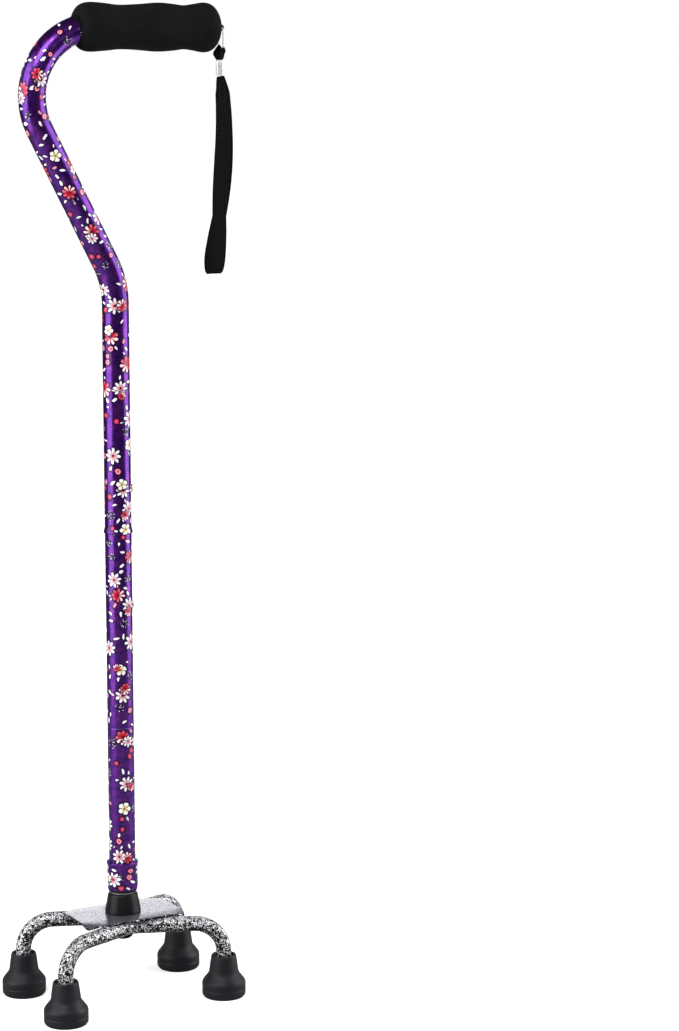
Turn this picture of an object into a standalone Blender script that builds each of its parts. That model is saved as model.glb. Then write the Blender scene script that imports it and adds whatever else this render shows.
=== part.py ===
"""Folding quad walking cane: a four-footed base, a height-adjustable shaft, a gooseneck handle tube with a
foam grip that pulls off the shaft's spigot, two snap buttons and a wrist strap on a ring.

Metres, +Z up. The base's long side and the grip lie along X, the grip's free end towards +X.
The origin is on the floor, under the middle of the cane's box.
"""

import math

import bmesh
import bpy
from mathutils import Matrix, Vector

# --- driving dimensions -------------------------------------------------------------------------------------
GAP = 0.0003  # between pieces that touch or run in each other
TUBE_R = 0.0111  # 22.2 mm (7/8 in) shaft tube
WALL = 0.0014
BORE_R = TUBE_R - WALL
INNER_R = BORE_R - GAP  # spigot and extension tube, outside
INNER_BORE_R = INNER_R - WALL
SIDES = 20  # facets of the shaft tubes

FOOT_X = 0.073  # foot centres, from the shaft
FOOT_Y = 0.044
FOOT_R = 0.0185
FOOT_HEIGHT = 0.0360
FOOT_SOCKET_Z = 0.0100
FOOT_SIDES = 24
WASHER_THICK = 0.0015
LEG_R = 0.0065
LEG_BORE_R = 0.0050
LEG_Z = 0.0640
LEG_KINK_Y = 0.0155
LEG_BEND_R = 0.0250
LEG_KINK_R = 0.0100
LEG_SIDES = 12

PLATE_HALF_X = 0.0455
PLATE_HALF_Y = 0.0275
PLATE_THICK = 0.0015
PLATE_CROWN = 0.0010
PLATE_FLAT_Y = 0.0120  # flat seat for the boss, then the plate bends down to its long edges
PLATE_TIP_X = 0.0300  # past here, beyond the leg tubes, its corners are bent down further
PLATE_TIP_DROP = 0.0020
PLATE_EDGE_Z = LEG_Z + LEG_R + GAP  # underside at the long edges
PLATE_TOP_Z = PLATE_EDGE_Z + PLATE_CROWN + PLATE_THICK
PLATE_CORNER_R = 0.0042

BOLT_R = 0.0040
BOLT_HEAD_R = 0.0080
BOLT_HEAD_Z = 0.0503
BOLT_HEAD_THICK = 0.0065
BOLT_TOP_Z = 0.1120
SLEEVE_R = 0.0072
BOSS_TOP_Z = 0.0900
BOSS_TOP_R = 0.0126
BOSS_R = 0.0151
COLLAR_Z = BOSS_TOP_Z + GAP
COLLAR_TOP_Z = 0.1175
COLLAR_R = 0.0129
COLLAR_RIM_R = 0.0133
COLLAR_FLOOR = 0.0040

SEAM_Z = 0.2340  # lower tube meets upper tube
LOWER_TUBE_Z = COLLAR_Z + COLLAR_FLOOR + GAP
PLUG_LENGTH = 0.0200
EXTENSION_Z = 0.1800
EXTENSION_TOP_Z = 0.3520
BUSH_HEIGHT = 0.0040
ADJUST_BUTTON_Z = 0.3370
HOLE_PITCH = 0.0254
HOLE_COUNT = 4

MOUTH_Z = 0.3980  # open end of the handle tube
SHOULDER_HEIGHT = 0.0040
SPIGOT_TOP_Z = 0.4550
LOCK_BUTTON_Z = 0.4350
MOUTH_R = 0.01205
MOUTH_BORE_R = 0.0112
MOUTH_FLARE = 0.0055

BUTTON_R = 0.0034
BUTTON_HOLE_R = 0.0037
BUTTON_BASE_X = 0.0064  # from the tube's axis
LOCK_BUTTON_TIP_X = 0.0139
ADJUST_BUTTON_TIP_X = 0.0132
SPRING_HALF_WIDTH = 0.0030
SPRING_THICK = 0.0008

LEAN = math.radians(27.5)  # of the slanting stretch, from vertical
LOW_BEND_Z = 0.5878
LOW_BEND_R = 0.0750
NECK_R = 0.0560
GRIP_Z = 0.8115
TUBE_END_X = 0.0880

GRIP_START_X = -0.0312
GRIP_LENGTH = 0.1265
# distance along the grip and radius: a bump at each end and one between two finger dips
GRIP_OUTLINE = (
    (0.0000, 0.0120), (0.0012, 0.0152), (0.0048, 0.0184), (0.0115, 0.0198), (0.0249, 0.0190),
    (0.0374, 0.0178), (0.0537, 0.0184), (0.0709, 0.0197), (0.0843, 0.0190), (0.0949, 0.0178),
    (0.1045, 0.0189), (0.1131, 0.0202), (0.1188, 0.0189), (0.1231, 0.0145), (0.1253, 0.0090),
    (0.1265, 0.0035),
)
GRIP_SIDES = 24

LUG_X = 0.0985  # eyelet's hole
LUG_R = 0.0026
LUG_HALF_THICK = 0.0010
LUG_HOLE_R = 0.0015
STEM_R = 0.0032

RING_WIRE_R = 0.00075
RING_HALF_WIDTH = 0.0045
RING_HALF_HEIGHT = 0.0084
RING_CORNER_R = 0.0035
RING_TOP_Z = GRIP_Z + 0.00015
RING_BOTTOM_Z = RING_TOP_Z - 2 * RING_HALF_HEIGHT
LOOP_HOLE_R = 0.0019
LOOP_TOP_R = 0.0032
LOOP_R = 0.0052
LOOP_HALF_WIDTH = 0.0020
LOOP_LOW_Z = 0.7902
CRIMP_X = 0.0972
CRIMP_HALF = (0.0032, 0.0021, 0.0061)
CRIMP_Z = LOOP_LOW_Z - LOOP_R - GAP - CRIMP_HALF[2]
STRAP_HALF_WIDTH = 0.0065
STRAP_NECK_HALF_WIDTH = 0.0034
STRAP_THICK = 0.0011

CORD_R = 0.0022
CORD_KNOT_R = 0.0040
CORD_LOW_Z = 0.4405
CORD_TOP_Z = 0.5700
UPPER_ANCHOR_Z = 0.5560
ANCHOR_HEIGHT = 0.0080

# The box runs from the left feet to the eyelet, so the shaft stands a little to the left of its middle.
SHAFT_X = (FOOT_X + FOOT_R - LUG_X - LUG_R) / 2

# --- the webbing's route, from the crimp's front face round the hand loop to its back face -----------------
STRAP_ROUTE = (
    (0.0975, -0.0009, 0.7718), (0.0978, -0.0028, 0.7620), (0.0973, -0.0048, 0.7430),
    (0.0962, -0.0060, 0.7230), (0.0947, -0.0062, 0.7030), (0.0934, -0.0058, 0.6810),
    (0.0932, -0.0052, 0.6610), (0.0934, -0.0050, 0.6430), (0.0926, -0.0048, 0.6250),
    (0.0914, -0.0036, 0.6140), (0.0908, 0.0000, 0.6100), (0.0904, 0.0036, 0.6125),
    (0.0908, 0.0050, 0.6230), (0.0945, 0.0056, 0.6400), (0.1000, 0.0062, 0.6610),
    (0.1043, 0.0066, 0.6850), (0.1060, 0.0066, 0.7090), (0.1052, 0.0060, 0.7330),
    (0.1022, 0.0040, 0.7560), (0.0979, 0.0009, 0.7718),
)


# --- materials ----------------------------------------------------------------------------------------------
def material(name, colour, roughness, metallic=0.0):
    made = bpy.data.materials.new(name)
    made.use_nodes = True
    shader = made.node_tree.nodes["Principled BSDF"]
    shader.inputs["Base Color"].default_value = (*colour, 1.0)
    shader.inputs["Roughness"].default_value = roughness
    shader.inputs["Metallic"].default_value = metallic
    return made


def all_materials():
    return {
        "printed": material("printed_purple", (0.10, 0.012, 0.30), 0.22, 0.6),
        "aluminium": material("bare_aluminium", (0.72, 0.73, 0.75), 0.35, 1.0),
        "foam": material("black_foam", (0.012, 0.012, 0.013), 0.95),
        "plastic": material("black_plastic", (0.015, 0.015, 0.017), 0.4),
        "vein": material("silver_vein_coat", (0.38, 0.38, 0.40), 0.45, 0.5),
        "plate": material("grey_grain_coat", (0.55, 0.55, 0.58), 0.5, 0.4),
        "rubber": material("foot_rubber", (0.020, 0.021, 0.024), 0.7),
        "steel": material("plated_steel", (0.60, 0.60, 0.61), 0.3, 1.0),
        "bolt": material("blackened_steel", (0.02, 0.02, 0.02), 0.4, 0.8),
        "brass": material("brass_button", (0.80, 0.62, 0.34), 0.25, 1.0),
        "chrome": material("chrome", (0.85, 0.85, 0.86), 0.08, 1.0),
        "webbing": material("black_webbing", (0.010, 0.010, 0.011), 0.9),
        "elastic": material("black_elastic", (0.012, 0.012, 0.014), 0.6),
    }


# --- building tools -----------------------------------------------------------------------------------------
def at(x, y, z):
    """A place given from the shaft's axis on the floor."""
    return Vector((SHAFT_X + x, y, z))


def finish(name, mesh_data, finish_material, place):
    """A named object from a bmesh whose points are given from `place`."""
    bmesh.ops.recalc_face_normals(mesh_data, faces=mesh_data.faces)
    mesh = bpy.data.meshes.new(name)
    mesh_data.to_mesh(mesh)
    mesh_data.free()
    mesh.materials.append(finish_material)
    mesh.shade_smooth()
    mesh.set_sharp_from_angle(angle=math.radians(40))
    made = bpy.data.objects.new(name, mesh)
    made.location = place
    bpy.context.collection.objects.link(made)
    return made


def turned(name, outline, finish_material, place, sides=SIDES, along="Z"):
    """A solid turned about its axis from a closed outline of (radius, height) points."""
    build = bmesh.new()
    rings = []
    for radius, height in outline:
        if radius <= 0:
            rings.append([build.verts.new((0, 0, height))])
            continue
        angles = [2 * math.pi * i / sides for i in range(sides)]
        rings.append([build.verts.new((radius * math.cos(a), radius * math.sin(a), height)) for a in angles])
    for here, there in zip(rings, rings[1:] + rings[:1]):
        for i in range(sides):
            j = (i + 1) % sides
            corners = [here[i % len(here)], here[j % len(here)], there[j % len(there)], there[i % len(there)]]
            distinct = list(dict.fromkeys(corners))
            if len(distinct) > 2:
                build.faces.new(distinct)
    if along == "X":
        bmesh.ops.rotate(build, verts=build.verts, cent=(0, 0, 0), matrix=Matrix.Rotation(math.pi / 2, 3, "Y"))
    return finish(name, build, finish_material, place)


def tube_outline(outer, inner, low, high):
    return [(outer, low), (outer, high), (inner, high), (inner, low)]


def circle(radius, sides):
    return [(radius * math.cos(2 * math.pi * i / sides), radius * math.sin(2 * math.pi * i / sides))
            for i in range(sides)]


def frames(path, side):
    """At each path point: its place, and the section's two directions, carried along without twist."""
    made = []
    for i, point in enumerate(path):
        before = path[max(i - 1, 0)]
        after = path[min(i + 1, len(path) - 1)]
        tangent = (after - before).normalized()
        side = (side - tangent * side.dot(tangent)).normalized()
        made.append((point, side, tangent.cross(side)))
    return made


def swept(name, path, outer, finish_material, place, side=(0, 1, 0), inner=None, scales=None):
    """A closed solid swept along a path; with an inner section it is a pipe with open ends.

    `scales` holds, for each skin, the section's (u, v) scale at the path's first points; then it stays 1.
    """
    build = bmesh.new()
    skins = []
    for number, section in enumerate((outer, inner)):
        if section is None:
            continue
        given = scales[number] if scales else []
        rings = []
        for i, (point, u, v) in enumerate(frames(path, Vector(side))):
            wide, high = given[i] if i < len(given) else (1.0, 1.0)
            rings.append([build.verts.new(point + u * (a * wide) + v * (b * high)) for a, b in section])
        for here, there in zip(rings, rings[1:]):
            for i in range(len(section)):
                j = (i + 1) % len(section)
                build.faces.new((here[i], here[j], there[j], there[i]))
        skins.append(rings)
    for end in (0, -1):
        if inner is None:
            build.faces.new(skins[0][end])
            continue
        for i in range(len(outer)):
            j = (i + 1) % len(outer)
            build.faces.new((skins[0][end][i], skins[0][end][j], skins[1][end][j], skins[1][end][i]))
    return finish(name, build, finish_material, place)


def extruded(name, outline, thickness, finish_material, place, hole=None):
    """An outline in X and Z, with an optional round hole (x, z, radius), centred on Y and `thickness` deep."""
    build = bmesh.new()
    lower = [build.verts.new((x, -thickness / 2, z)) for x, z in outline]
    face = build.faces.new(lower)
    grown = bmesh.ops.extrude_face_region(build, geom=[face])
    moved = [v for v in grown["geom"] if isinstance(v, bmesh.types.BMVert)]
    bmesh.ops.translate(build, verts=moved, vec=(0, thickness, 0))
    made = finish(name, build, finish_material, place)
    if hole:
        x, z, radius = hole
        cutter = pin_cutter(name + "_hole", place + Vector((x, 0, z)), radius, thickness * 3, "Y", 16)
        cut(made, cutter)
    return made


def smooth_curve(points, per_span):
    """Points of a Catmull-Rom curve through `points`."""
    known = [Vector(p) for p in points]
    padded = [2 * known[0] - known[1]] + known + [2 * known[-1] - known[-2]]
    made = []
    for a, b, c, d in zip(padded, padded[1:], padded[2:], padded[3:]):
        for step in range(per_span):
            t = step / per_span
            made.append(0.5 * ((2 * b) + (c - a) * t + (2 * a - 5 * b + 4 * c - d) * t ** 2
                               + (3 * b - a - 3 * c + d) * t ** 3))
    return made + [known[-1]]


def pin_cutter(name, centre, radius, length, axis, sides=20):
    build = bmesh.new()
    turn = {"X": Matrix.Rotation(math.pi / 2, 4, "Y"), "Y": Matrix.Rotation(math.pi / 2, 4, "X"),
            "Z": Matrix.Identity(4)}[axis]
    bmesh.ops.create_cone(build, cap_ends=True, segments=sides, radius1=radius, radius2=radius, depth=length,
                          matrix=turn)
    return as_cutter(finish(name, build, GUIDE, centre))


def as_cutter(shape):
    shape.hide_render = True
    shape.display_type = "WIRE"
    return shape


def cut(body, tool, operation="DIFFERENCE"):
    change = body.modifiers.new(tool.name, "BOOLEAN")
    change.operation = operation
    change.solver = "EXACT"
    change.object = tool


# --- base ---------------------------------------------------------------------------------------------------
def leg_path(side):
    """A leg tube's middle line, from one foot up, in over the kink and down to the other foot."""
    foot = Vector((FOOT_X, side * FOOT_Y, 0))
    kink = Vector((0, side * LEG_KINK_Y, 0))
    inward = (kink - foot).normalized()
    steps = 5
    half = []
    low_end = FOOT_SOCKET_Z + WASHER_THICK + 2 * GAP
    half.append(Vector((foot.x, foot.y, low_end)))
    for i in range(steps + 1):
        turn = math.pi / 2 * i / steps
        along = LEG_BEND_R * (1 - math.cos(turn))
        height = LEG_Z - LEG_BEND_R + LEG_BEND_R * math.sin(turn)
        half.append(Vector((foot.x, foot.y, height)) + inward * along)
    half.append(Vector((kink.x, kink.y, LEG_Z)) - inward * LEG_KINK_R)
    mirrored = [Vector((-p.x, p.y, p.z)) for p in reversed(half)]
    crease = Vector((0, side * (LEG_KINK_Y + 0.3 * LEG_KINK_R * abs(inward.y)), LEG_Z))
    return half + [crease] + mirrored


def plate_drop(x, y):
    """How far the plate has bent down at a point."""
    across = max(abs(y) - PLATE_FLAT_Y, 0) / (PLATE_HALF_Y - PLATE_FLAT_Y)
    along = max(abs(x) - PLATE_TIP_X, 0) / (PLATE_HALF_X - PLATE_TIP_X)
    return (PLATE_CROWN + PLATE_TIP_DROP * along ** 2) * across ** 2


def base_plate(mats):
    build = bmesh.new()
    corner_steps = 4
    outline = []
    for cx, cy, start in ((1, 1, 0), (-1, 1, 90), (-1, -1, 180), (1, -1, 270)):
        centre_x = cx * (PLATE_HALF_X - PLATE_CORNER_R)
        centre_y = cy * (PLATE_HALF_Y - PLATE_CORNER_R)
        for i in range(corner_steps + 1):
            angle = math.radians(start + 90 * i / corner_steps)
            outline.append((centre_x + PLATE_CORNER_R * math.cos(angle),
                            centre_y + PLATE_CORNER_R * math.sin(angle)))
    bottom = [build.verts.new((x, y, 0)) for x, y in outline]
    build.faces.new(bottom)
    cuts = 8
    for i in range(1, cuts):
        y = -PLATE_HALF_Y + 2 * PLATE_HALF_Y * i / cuts
        bmesh.ops.bisect_plane(build, geom=build.verts[:] + build.edges[:] + build.faces[:],
                               plane_co=(0, y, 0), plane_no=(0, 1, 0))
    for share in (0.0, 0.35, 0.65, 0.85):
        for sign in (-1, 1):
            x = sign * (PLATE_TIP_X + (PLATE_HALF_X - PLATE_TIP_X) * share)
            bmesh.ops.bisect_plane(build, geom=build.verts[:] + build.edges[:] + build.faces[:],
                                   plane_co=(x, 0, 0), plane_no=(1, 0, 0))
    grown = bmesh.ops.extrude_face_region(build, geom=build.faces[:])
    moved = [v for v in grown["geom"] if isinstance(v, bmesh.types.BMVert)]
    bmesh.ops.translate(build, verts=moved, vec=(0, 0, PLATE_THICK))
    for vertex in build.verts:
        vertex.co.z -= plate_drop(vertex.co.x, vertex.co.y)
    plate = finish("base_plate", build, mats["plate"], at(0, 0, PLATE_TOP_Z - PLATE_THICK))
    hole = pin_cutter("plate_hole", at(0, 0, PLATE_TOP_Z), BOLT_R + 2 * GAP, 0.02, "Z")
    cut(plate, hole)


def feet(mats):
    """Four rubber tips, each with the steel disc that its leg's end bears on."""
    socket_r = LEG_R + GAP
    outline = (
        (0, FOOT_SOCKET_Z), (socket_r, FOOT_SOCKET_Z), (socket_r, FOOT_HEIGHT), (0.0100, FOOT_HEIGHT),
        (0.0108, FOOT_HEIGHT - 0.0012), (0.0126, 0.0212), (0.0140, 0.0190), (0.0178, 0.0130),
        (FOOT_R, 0.0112), (FOOT_R, 0.0022), (FOOT_R - 0.0022, 0), (0.0112, 0), (0.0104, 0.0014), (0, 0.0014),
    )
    for x, x_name in ((-1, "left"), (1, "right")):
        for y, y_name in ((-1, "front"), (1, "rear")):
            name = f"{y_name}_{x_name}"
            place = at(x * FOOT_X, y * FOOT_Y, 0)
            turned(f"foot_{name}", outline, mats["rubber"], place, FOOT_SIDES)
            disc = [(0, 0), (LEG_R - GAP, 0), (LEG_R - GAP, WASHER_THICK), (0, WASHER_THICK)]
            turned(f"foot_disc_{name}", disc, mats["steel"], place + Vector((0, 0, FOOT_SOCKET_Z + GAP)), 16)


def base(mats):
    for side, name in ((-1, "front"), (1, "rear")):
        swept(f"{name}_leg_tube", leg_path(side), circle(LEG_R, LEG_SIDES), mats["vein"], at(0, 0, 0),
              inner=circle(LEG_BORE_R, LEG_SIDES))
    base_plate(mats)
    feet(mats)
    bolt_bore = BOLT_R + GAP
    sleeve_low = BOLT_HEAD_Z + BOLT_HEAD_THICK + WASHER_THICK + 2 * GAP
    sleeve_high = PLATE_TOP_Z - PLATE_THICK - GAP
    turned("bolt_sleeve", tube_outline(SLEEVE_R, bolt_bore, sleeve_low, sleeve_high), mats["steel"], at(0, 0, 0))
    washer_low = BOLT_HEAD_Z + BOLT_HEAD_THICK + GAP
    turned("bolt_washer", tube_outline(BOLT_HEAD_R, bolt_bore, washer_low, washer_low + WASHER_THICK),
           mats["steel"], at(0, 0, 0))
    head_top = BOLT_HEAD_Z + BOLT_HEAD_THICK
    bolt = [(0, BOLT_HEAD_Z), (0.0045, BOLT_HEAD_Z), (0.0070, BOLT_HEAD_Z + 0.0012),
            (BOLT_HEAD_R, BOLT_HEAD_Z + 0.0035), (BOLT_HEAD_R, head_top), (BOLT_R, head_top),
            (BOLT_R, BOLT_TOP_Z), (0, BOLT_TOP_Z)]
    turned("base_bolt", bolt, mats["bolt"], at(0, 0, 0))
    boss_low = PLATE_TOP_Z + GAP
    boss = [(bolt_bore, boss_low), (BOSS_R - 0.0005, boss_low), (BOSS_R, boss_low + 0.0005), (BOSS_R, 0.0750),
            (BOSS_TOP_R, BOSS_TOP_Z - 0.0013), (BOSS_TOP_R - 0.0008, BOSS_TOP_Z), (bolt_bore, BOSS_TOP_Z)]
    turned("base_boss", boss, mats["plastic"], at(0, 0, 0), FOOT_SIDES)
    collar_bore = TUBE_R + GAP
    floor_top = COLLAR_Z + COLLAR_FLOOR
    collar = [(bolt_bore, COLLAR_Z), (0.0106, COLLAR_Z), (0.0118, COLLAR_Z + 0.0014),
              (0.0126, COLLAR_Z + 0.0036), (COLLAR_R, COLLAR_Z + 0.0064), (COLLAR_R, COLLAR_TOP_Z - 0.0022),
              (COLLAR_RIM_R, COLLAR_TOP_Z - 0.0018), (COLLAR_RIM_R, COLLAR_TOP_Z - 0.0004),
              (COLLAR_RIM_R - 0.0004, COLLAR_TOP_Z), (collar_bore, COLLAR_TOP_Z), (collar_bore, floor_top),
              (bolt_bore, floor_top)]
    turned("base_collar", collar, mats["printed"], at(0, 0, 0), FOOT_SIDES)


# --- shaft --------------------------------------------------------------------------------------------------
def lower_shaft(mats):
    turned("lower_shaft_tube", tube_outline(TUBE_R, BORE_R, LOWER_TUBE_Z, SEAM_Z - GAP), mats["printed"],
           at(0, 0, 0))
    turned("shaft_plug", tube_outline(INNER_R, BOLT_R + GAP, LOWER_TUBE_Z, LOWER_TUBE_Z + PLUG_LENGTH),
           mats["plastic"], at(0, 0, 0))
    extension = turned("extension_tube", tube_outline(INNER_R, INNER_BORE_R, EXTENSION_Z, EXTENSION_TOP_Z),
                       mats["aluminium"], at(0, 0, 0))
    cut(extension, button_hole("extension_hole", ADJUST_BUTTON_Z))
    bush_low = EXTENSION_TOP_Z + GAP
    turned("extension_bush", tube_outline(INNER_R, 0.0060, bush_low, bush_low + BUSH_HEIGHT), mats["plastic"],
           at(0, 0, 0))


def button_hole(name, height):
    """A hole through the +X wall only."""
    return pin_cutter(name, at(TUBE_R, 0, height), BUTTON_HOLE_R, 2 * WALL + 0.008, "X")


def upper_shaft(mats):
    """Outer tube with its end swaged down to the spigot that the handle tube slides over."""
    shoulder_z = MOUTH_Z - GAP
    outline = [(TUBE_R, SEAM_Z), (TUBE_R, shoulder_z), (INNER_R, shoulder_z + SHOULDER_HEIGHT),
               (INNER_R, SPIGOT_TOP_Z - 0.0010), (INNER_R - 0.0005, SPIGOT_TOP_Z),
               (INNER_BORE_R, SPIGOT_TOP_Z), (INNER_BORE_R, shoulder_z + SHOULDER_HEIGHT),
               (BORE_R, shoulder_z), (BORE_R, SEAM_Z)]
    shaft = turned("upper_shaft_tube", outline, mats["printed"], at(0, 0, 0))
    for i in range(HOLE_COUNT):
        cut(shaft, button_hole(f"height_hole_{i}", ADJUST_BUTTON_Z - i * HOLE_PITCH))
    cut(shaft, button_hole("spigot_hole", LOCK_BUTTON_Z))


def snap_button(name, height, tip_x, mats):
    """Domed pin; its origin is on the press axis, at the tube's middle."""
    dome = tip_x - TUBE_R
    outline = [(0, BUTTON_BASE_X), (BUTTON_R, BUTTON_BASE_X), (BUTTON_R, tip_x - 0.6 * dome)]
    outline += [(BUTTON_R * math.cos(a), tip_x - 0.6 * dome * (1 - math.sin(a)))
                for a in (math.radians(25), math.radians(50), math.radians(72))]
    outline.append((0, tip_x))
    turned(f"{name}_button", outline, mats["brass"], at(0, 0, height), 16, along="X")


def snap_spring(name, height, mats):
    """V-shaped steel strip inside the tube; its front arm carries the button."""
    arms = ((0.0056, 0, 0.0070), (0.0056, 0, -0.0030), (0.0045, 0, -0.0200), (0.0028, 0, -0.0330),
            (0.0000, 0, -0.0385), (-0.0028, 0, -0.0330), (-0.0050, 0, -0.0200), (-0.0068, 0, 0.0000))
    half = SPRING_HALF_WIDTH, SPRING_THICK / 2
    section = [(-half[0], -half[1]), (half[0], -half[1]), (half[0], half[1]), (-half[0], half[1])]
    swept(f"{name}_spring", smooth_curve(arms, 2), section, mats["steel"], at(0, 0, height))


def snap_fasteners(mats):
    snap_button("lock", LOCK_BUTTON_Z, LOCK_BUTTON_TIP_X, mats)
    snap_spring("lock", LOCK_BUTTON_Z, mats)
    snap_button("adjust", ADJUST_BUTTON_Z, ADJUST_BUTTON_TIP_X, mats)
    snap_spring("adjust", ADJUST_BUTTON_Z, mats)


def elastic_cord(mats):
    """Cord that keeps the handle with the shaft when they are pulled apart, knotted behind a plug at each end."""
    anchor = tube_outline(INNER_BORE_R - GAP, CORD_R + GAP, SPIGOT_TOP_Z - ANCHOR_HEIGHT, SPIGOT_TOP_Z)
    turned("lower_cord_plug", anchor, mats["plastic"], at(0, 0, 0))
    anchor = tube_outline(BORE_R - GAP, CORD_R + GAP, UPPER_ANCHOR_Z, UPPER_ANCHOR_Z + ANCHOR_HEIGHT)
    turned("upper_cord_plug", anchor, mats["plastic"], at(0, 0, 0))
    knot_low = SPIGOT_TOP_Z - ANCHOR_HEIGHT - GAP
    knot_high = UPPER_ANCHOR_Z + ANCHOR_HEIGHT + GAP
    outline = [(0, CORD_LOW_Z), (0.0028, CORD_LOW_Z), (CORD_KNOT_R, CORD_LOW_Z + 0.0018),
               (CORD_KNOT_R, knot_low - 0.0016), (0.0030, knot_low), (CORD_R, knot_low), (CORD_R, knot_high),
               (0.0030, knot_high), (CORD_KNOT_R, knot_high + 0.0016), (CORD_KNOT_R, CORD_TOP_Z - 0.0014),
               (0.0028, CORD_TOP_Z), (0, CORD_TOP_Z)]
    turned("elastic_cord", outline, mats["elastic"], at(0, 0, 0), 12)


# --- handle -------------------------------------------------------------------------------------------------
def neck_centre():
    """Middle of the gooseneck's arc, and where the arc starts."""
    low_end = Vector((-LOW_BEND_R * (1 - math.cos(LEAN)), 0, LOW_BEND_Z + LOW_BEND_R * math.sin(LEAN)))
    climb = (GRIP_Z - NECK_R * (1 + math.sin(LEAN)) - low_end.z) / math.cos(LEAN)
    start = low_end + climb * Vector((-math.sin(LEAN), 0, math.cos(LEAN)))
    return start + NECK_R * Vector((math.cos(LEAN), 0, math.sin(LEAN)))


def handle_path(end_x, straight):
    """The handle tube's middle line: `straight` heights, then leaning back, over the gooseneck, along the grip."""
    path = [Vector((0, 0, z)) for z in straight]
    low_steps, neck_steps = 4, 12
    for i in range(low_steps + 1):
        turn = LEAN * i / low_steps
        path.append(Vector((-LOW_BEND_R * (1 - math.cos(turn)), 0, LOW_BEND_Z + LOW_BEND_R * math.sin(turn))))
    centre = neck_centre()
    for i in range(neck_steps + 1):
        turn = LEAN - (LEAN + math.pi / 2) * i / neck_steps
        path.append(centre - NECK_R * Vector((math.cos(turn), 0, math.sin(turn))))
    path.append(Vector((end_x, 0, GRIP_Z)))
    return path


def handle_tube(mats):
    """Bent tube whose open end flares over the shaft's shoulder."""
    mouth_z = MOUTH_Z + GAP
    flare = ((0.0, MOUTH_R - 0.0003, MOUTH_BORE_R), (0.0006, MOUTH_R, MOUTH_BORE_R - 0.0001),
             (0.0020, MOUTH_R - 0.0001, MOUTH_BORE_R - 0.0005), (MOUTH_FLARE, TUBE_R, BORE_R))
    outer_scales = [(outer / TUBE_R,) * 2 for _, outer, _ in flare]
    inner_scales = [(inner / BORE_R,) * 2 for _, _, inner in flare]
    straight = [mouth_z + up for up, _, _ in flare]
    tube = swept("handle_tube", handle_path(TUBE_END_X, straight), circle(TUBE_R, SIDES), mats["printed"],
                 at(0, 0, 0), inner=circle(BORE_R, SIDES), scales=(outer_scales, inner_scales))
    cut(tube, button_hole("handle_hole", LOCK_BUTTON_Z))


def foam_grip(mats):
    """Moulded grip: solid of its outer shape, less the tube and the eyelet's stem."""
    curve = smooth_curve([(radius, along, 0) for along, radius in GRIP_OUTLINE], 1)
    outline = [(0, 0)] + [(point.x, point.y) for point in curve] + [(0, GRIP_LENGTH)]
    grip = turned("foam_grip", outline, mats["foam"], at(GRIP_START_X, 0, GRIP_Z), GRIP_SIDES, along="X")
    flange_end = TUBE_END_X + 0.0026
    path = [p for p in handle_path(flange_end, []) if p.z > GRIP_Z - 0.03]
    bore = swept("grip_bore", path, circle(TUBE_R + GAP, SIDES), GUIDE, at(0, 0, 0))
    cut(grip, as_cutter(bore))
    stem_centre = at(GRIP_START_X + GRIP_LENGTH, 0, GRIP_Z)
    cut(grip, pin_cutter("grip_stem_hole", stem_centre, STEM_R + GAP, 0.03, "X"))


def grip_end_plug(mats):
    """Plug in the tube's end with a flange, a stem through the foam and the strap's eyelet."""
    flange_x = TUBE_END_X + GAP
    outline = [(0, 0.0700), (INNER_R, 0.0700), (INNER_R, flange_x), (TUBE_R, flange_x), (TUBE_R, 0.0903),
               (STEM_R, 0.0903), (STEM_R, 0.0957), (0.0020, 0.0963), (0, 0.0963)]
    plug = turned("grip_end_plug", outline, mats["plastic"], at(0, 0, GRIP_Z), SIDES, along="X")
    root_x = 0.0930
    steps = 10
    lug = [(LUG_X + LUG_R * math.cos(a), LUG_R * math.sin(a))
           for a in (math.radians(-90 + 180 * i / steps) for i in range(steps + 1))]
    lug += [(root_x, LUG_R), (root_x, -LUG_R)]
    eyelet = extruded("eyelet_lug", lug, 2 * LUG_HALF_THICK, mats["plastic"], at(0, 0, GRIP_Z))
    cut(plug, as_cutter(eyelet), "UNION")
    cut(plug, pin_cutter("eyelet_hole", at(LUG_X, 0, GRIP_Z), LUG_HOLE_R, 0.01, "Y", 16))


# --- wrist strap --------------------------------------------------------------------------------------------
def strap_ring(mats):
    """Oval wire ring across the eyelet; its origin is on the eyelet's axis."""
    straight_y = RING_HALF_WIDTH - RING_CORNER_R
    straight_z = RING_HALF_HEIGHT - RING_CORNER_R
    centre_z = RING_TOP_Z - RING_HALF_HEIGHT - GRIP_Z
    steps = 5
    path = []
    for sy, sz, start in ((1, 1, 0), (-1, 1, 90), (-1, -1, 180), (1, -1, 270)):
        for i in range(steps + 1):
            angle = math.radians(start + 90 * i / steps)
            path.append((sy * straight_y + RING_CORNER_R * math.cos(angle),
                         centre_z + sz * straight_z + RING_CORNER_R * math.sin(angle)))
    build = bmesh.new()
    wire_sides = 8
    rings = []
    for i, (y, z) in enumerate(path):
        before, after = path[i - 1], path[(i + 1) % len(path)]
        tangent = Vector((0, after[0] - before[0], after[1] - before[1])).normalized()
        outward = tangent.cross(Vector((1, 0, 0)))
        rings.append([build.verts.new(Vector((0, y, z)) + outward * a + Vector((b, 0, 0)))
                      for a, b in circle(RING_WIRE_R, wire_sides)])
    for here, there in zip(rings, rings[1:] + rings[:1]):
        for i in range(wire_sides):
            j = (i + 1) % wire_sides
            build.faces.new((here[i], here[j], there[j], there[i]))
    finish("strap_ring", build, mats["chrome"], at(LUG_X, 0, GRIP_Z))


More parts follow.
